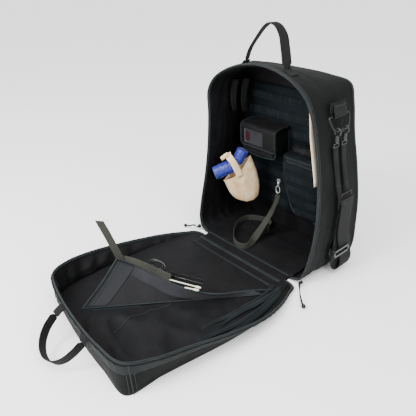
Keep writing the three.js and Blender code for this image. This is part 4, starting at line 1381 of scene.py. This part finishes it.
def lid_floor_top(x, reach):
    """Height of the lid's floor lining: flat by the hinge, in loose folds further in."""
    edge = smooth(min((x + 215) / 40, (238 - x) / 40, (556 - reach) / 40, (reach - 66) / 40), 0, 1)
    run = FOLD_B - FOLD_A
    beyond = ((x - FOLD_A[0]) * -run[1] + (-reach - FOLD_A[1]) * run[0]) / math.hypot(run[0], run[1])
    edge *= 0.25 * smooth(beyond, 60, 130) if beyond > 0 else smooth(-beyond, 4, 50)
    deep = smooth(reach, 120, 300)
    folds = (2 + 8 * deep) * crease((x + 0.5 * reach, reach - 0.4 * x, 0), (170, 60, 1), 3.9)
    folds += (1 + 3 * deep) * crease((x - 0.3 * reach, reach, 0), (60, 120, 1), 7.7)
    return 5.4 + edge * max(folds + 1.2 * ripple((x, reach, 0), (40, 40, 1), 5.1), 0)


def on_lid_floor(x, y, lift=1.0):
    return (x, y, lid_floor_top(x, -y) + lift)


def make_lid():
    def outer(s, v):
        p = lid_wall(s, v)
        slack = arch(v) * smooth(p[2] + 20 * v, 8, 40)
        folds = 2.0 * crease(p, (70, 90, 60), 6.2) + 0.8 * ripple(p, (60, 60, 40), 2.9)
        return slack * (folds - 1.6)

    shell = Shape().slab(lid_rows(outer, 170, 10), 1.4)
    parts = [shell.make("lid_shell", "lid", "shell", ["lid_left_side", "lid_end_panel", "lid_right_side"])]

    def inner(s, v):
        p = lid_wall(s, v)
        high = smooth(p[1], -120, -330)
        far = lid_wall(s, 0.5)
        pucker = math.sin(s * 9.5 + 1.6 * ripple(far, (60, 60, 60), 1.1)) * 0.5 + 0.5
        return 3.4 + (0.7 + 1.4 * high) * (3.6 * pucker * arch(min(v + 0.12, 1)) ** 0.8
                                     + 2.5 * crease(p, (60, 60, 50), 9.7) * arch(v))
    parts.append(Shape().slab(lid_rows(inner, 260, 12, 0.1), 0.7).make("lid_wall_lining", "lid", "lining"))

    rows = loft_rows(lid_floor, 90, lambda q: on_lid_floor(q[0], -q[1], 0), 0.012, 0.72, 9.96)
    parts.append(Shape().slab(rows, -0.7).make("lid_floor_lining", "lid", "lining"))
    parts += make_lid_trim()
    make_rim("lid", "lid", ["lid_zip_tape"])
    parts += [bpy.data.objects[n] for n in ("lid_binding", "lid_zip_tape_edge", "lid_zip_coil")]
    for part in parts:
        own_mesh(part)
    cover = grid(12, 30, lambda v, u: (mix(-150, 186, u), mix(16, -29, v), 6.6 + 0.5 * math.sin(v * 22.8)))
    bridge = Shape().slab(cover, 1.2).make("hinge_cover", "bag", "lining", ride=False)
    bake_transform(bridge)
    Shape().ribbon([(-150, 14, 8.4), (18, 12.5, 8.6), (186, 14, 8.4)], 7, (0, 1, 0), 1.6, 40).make(
        "hinge_edge_tape", "bag", "tape")
    bands = Shape()
    bands.ribbon([(-149, -27, 8.6), (18, -28, 9.0), (184, -27, 8.6)], 12, (0, 1, 0), 1.8, 40)
    bands.ribbon([(-149, -60, 9.0), (18, -61, 9.0), (180, -60, 9.0)], 5, (0, 1, 0), 1.4, 40)
    bands.make("hinge_lid_tapes", "lid", "tape")
    second = grid(8, 20, lambda v, u: (mix(-149, 180, u), mix(-33, -64, v), 7.4 + 0.8 * math.sin(v * 17.6)))
    Shape().slab(second, 1.0).make("hinge_second_tape", "lid", "lining", ["hinge_tape"])


def make_lid_trim():
    """Trim on the lid: long seam tapes by the right wall, floor piping, corner seams and the rim's band."""
    made = []
    tapes = Shape()
    for x, bow, reach0, reach1 in ((203, 6, 46, 300), (182, 20, 50, 320), (205, 26, 55, 372),
                                   (199, 13, 48, 250), (214, 30, 60, 420)):
        line = [on_lid_floor(x + bow * math.sin(math.pi * k / 8) - 3 * k / 8, -mix(reach0, reach1, k / 8),
                             2 + 11 * arch(0.06 + k / 9)) for k in range(9)]
        tapes.tube(line, lambda t: mix(1.8, 0.8, smooth(t, 0.6, 1.0)), 70, 6)
        tapes.ribbon([(p[0] + 3, p[1], p[2] - 3) for p in line], lambda t: mix(8, 2, smooth(t, 0.5, 1.0)),
                     (0.6, 0, -0.8), 1.0, 60)
    made.append(tapes.make("lid_pocket_tapes", "lid", "tape"))
    piping = Shape()
    lines = ([(8, -296), (34, -300), (51, -314), (46, -345), (41, -372), (34, -413), (36, -454), (47, -484)],
             [(-86, -499), (-70, -478), (-58, -462), (-23, -412), (6, -374)])
    for line in lines:
        fine = Curve([(x, y, 0) for x, y in line])
        piping.tube(lambda t, fine=fine: np.array(on_lid_floor(*fine(t)[:2], 1.4)), 1.5, 90, 6)
    made.append(piping.make("lid_floor_piping", "lid", "tape"))
    seams = Shape()
    for s in (8.05, 12.25):
        seams.tube(lambda t, s=s: lid_wall(s, mix(0.02, 0.97, t), -1.2), 1.7, 30, 8)
        for off in (-0.12, 0.12):
            stitches.row("lid", lambda t, s=s + off: lid_wall(s, mix(0.05, 0.93, t), -1.2), lid_out(s))
    made.append(seams.make("lid_corner_seams", "lid", "binding"))
    band = [[lid_wall(s, v, -2.0 - 0.5 * math.sin(s * 23)) for v in (0.70, 0.74, 0.82, 0.9, 0.965)]
            for s in (mix(0.4, 19.6, i / 300) for i in range(301))]
    made.append(Shape().slab(band, 1.2).make("lid_rim_band", "lid", "band"))
    return made


def lid_out(s):
    dx, dr = lid_rim.tangent(s / LAST)
    return (-dr, -dx, 0.2)


FOLD_A = np.array([-88.0, -494.0, 7.5])
FOLD_B = np.array([196.0, -96.0, 7.5])
MOUTH = [(-119, -359, 88), (-84, -332, 74), (-36, -314, 64), (24, -291, 50), (80, -262, 41), (124, -218, 32),
         (152, -160, 24), (172, -112, 17)]
mouth_line = Curve(MOUTH)


def flap_at(u, v, out=0.0):
    """A point on the organiser flap: u along the fold, v from the fold up to the mouth."""
    top, foot = mouth_line(u), mix(FOLD_A, FOLD_B, u)
    p = mix(foot, top, v)
    p[2] -= 6 * arch(v) * (1 - u)
    p[2] += 1.6 * ripple(p, (50, 50, 40), 3.0) * arch(v)
    return p + out * np.array([0.5, -0.35, 0.79])


def make_organiser():
    cloth = Shape().slab(grid(60, 20, flap_at), 1.8)
    cloth.make("organiser_cloth", "organiser_flap", "lining", ["organiser_flap"])
    trim = Shape()
    trim.tube(lambda t: flap_at(t, 1.0, 0.6), 2.3, 80)
    trim.tube(lambda t: flap_at(0.0, t, 0.8), 2.6, 40)
    trim.tube(lambda t: flap_at(0.035, 0.05 + 0.9 * t, 0.8), 1.8, 40)
    trim.tube([MOUTH[-1], (184, -92, 14), (197, -70, 10)], lambda t: mix(2.2, 0.9, t), 12)
    trim.tube(lambda t: flap_at(t, 0.0, 1.2) + np.array([0, 0, 1]), 1.5, 60)
    trim.make("organiser_piping", "organiser_flap", "binding")
    loop = []
    for i in range(61):
        u = mix(0.165, 0.97, i / 60)
        height = float(np.linalg.norm(flap_at(u, 1) - flap_at(u, 0)))
        low = max(0.98 - 27 / height, 0.04)
        loop.append([flap_at(u, mix(low, 0.975, j / 6), 1.6) for j in range(7)])
    Shape().slab(loop, 1.2).make("organiser_loop_strip", "organiser_flap", "loop")

    def gusset(w, h):
        v = 0.03 + 0.94 * h
        return flap_at(mix(0.025, mix(0.12, 0.165, v / 0.97), w), v, 1.1)
    # The gusset takes the paler lining copy: painted light on its upward face.
    Shape().slab(grid(14, 14, gusset), 0.8).make("organiser_gusset", "organiser_flap", "flap")

    def facing(w, k):
        rise = mix(-12, mix(5, 19, w ** 0.7), k)
        return mouth_line(mix(0.03, 0.43, w)) + np.array([-2 - 6 * k, 3 + 8 * k, rise])
    Shape().slab(grid(40, 5, facing), 1.4).make("organiser_mouth_facing", "organiser_flap", "olive")

    tab = [(-119, -349, 78), (-124, -352, 94), (-138, -358, 125), (-152, -366, 160), (-166, -374, 192)]
    tab = Shape().ribbon(tab, WEBBING, (0.8, 0.6, 0), 2.0, 40)
    tab.make("pull_tab_webbing", "flap_pull_tab", "olive", ["flap_pull_tab"])
    make_comb()
    for name, node, x, y, z, length, turn in (("swab_stick_long", "swab_long", 66, -278, 53, 92, 0.42),
                                              ("swab_stick_short", "swab_short", 92, -277, 50, 40, 0.5)):
        c, s, tip = math.cos(turn), math.sin(turn), length / 2
        profile = [(1.2, -tip), (1.6, 1 - tip), (1.6, tip - 17), (2.9, tip - 13), (3.1, tip - 6),
                   (2.2, tip - 1), (0.6, tip)]
        shape = Shape().lathe(profile, turned((x - 9, y + 12, z), (-s, c, 0), (c, s, 0)), 14)
        shape.make(name, "organiser_flap", "white", [node])
    make_shears()


def make_comb():
    at = turned((51, -254, 60), (math.cos(0.42), math.sin(0.42), 0), (0, 0, 1))
    comb = Shape().box((0, 0, -6), (95, 3, 9), at, 1.0)
    for k in range(31):
        x = -45 + 3 * k
        comb.box((x, 0, 4.5), (1.5, 2.0, 13), at, 0.5)
    comb.make("fine_comb", "organiser_flap", "plastic", ["comb"], sharp=40)


def make_shears():
    shears = Shape()
    spin = Matrix.Rotation(0.35, 3, "Z") @ Matrix.Rotation(1.2, 3, "X")

    def at(p):
        return np.array(spin @ Vector(p)) + np.array([-41, -278, 66])
    for shift in (0, 9):
        turns = [math.pi * k / 9 for k in range(19)]
        bow = [at((21.5 * math.cos(a) - shift, 12.2 * math.sin(a), -shift * 0.5)) for a in turns]
        shears.tube(bow, 2.7, 54, 8, 1.2)
        if not shift:
            shears.tube([at(p) for p in ((-20, -3, 0), (-30, -10, 0), (-40, -20, 0))], 2.9, 12)
    shears.make("shears_bows", "organiser_flap", "plastic", ["trauma_shears"])


# ---- CAD nodes that keep their shape ------------------------------------------------------------
def dress_cad_nodes():
    for node in ("bottom_panel", "lid_face_panel"):
        materials = frame["nodes"][node].data.materials
        materials.clear()
        materials.append(LOOKS["shell"][0])


make_looks()
make_stage()
make_cords()
make_case()
make_back()
make_molle()
make_medical_pouch()
make_utility_pouch()
make_roll_holder()
make_loose_kit()
make_handles()
make_side_ring(1, "right", 0.39)
make_side_ring(-1, "left", 0.03)
make_sling()
make_harness()
make_lid()
make_organiser()
stitches.make()
dress_cad_nodes()
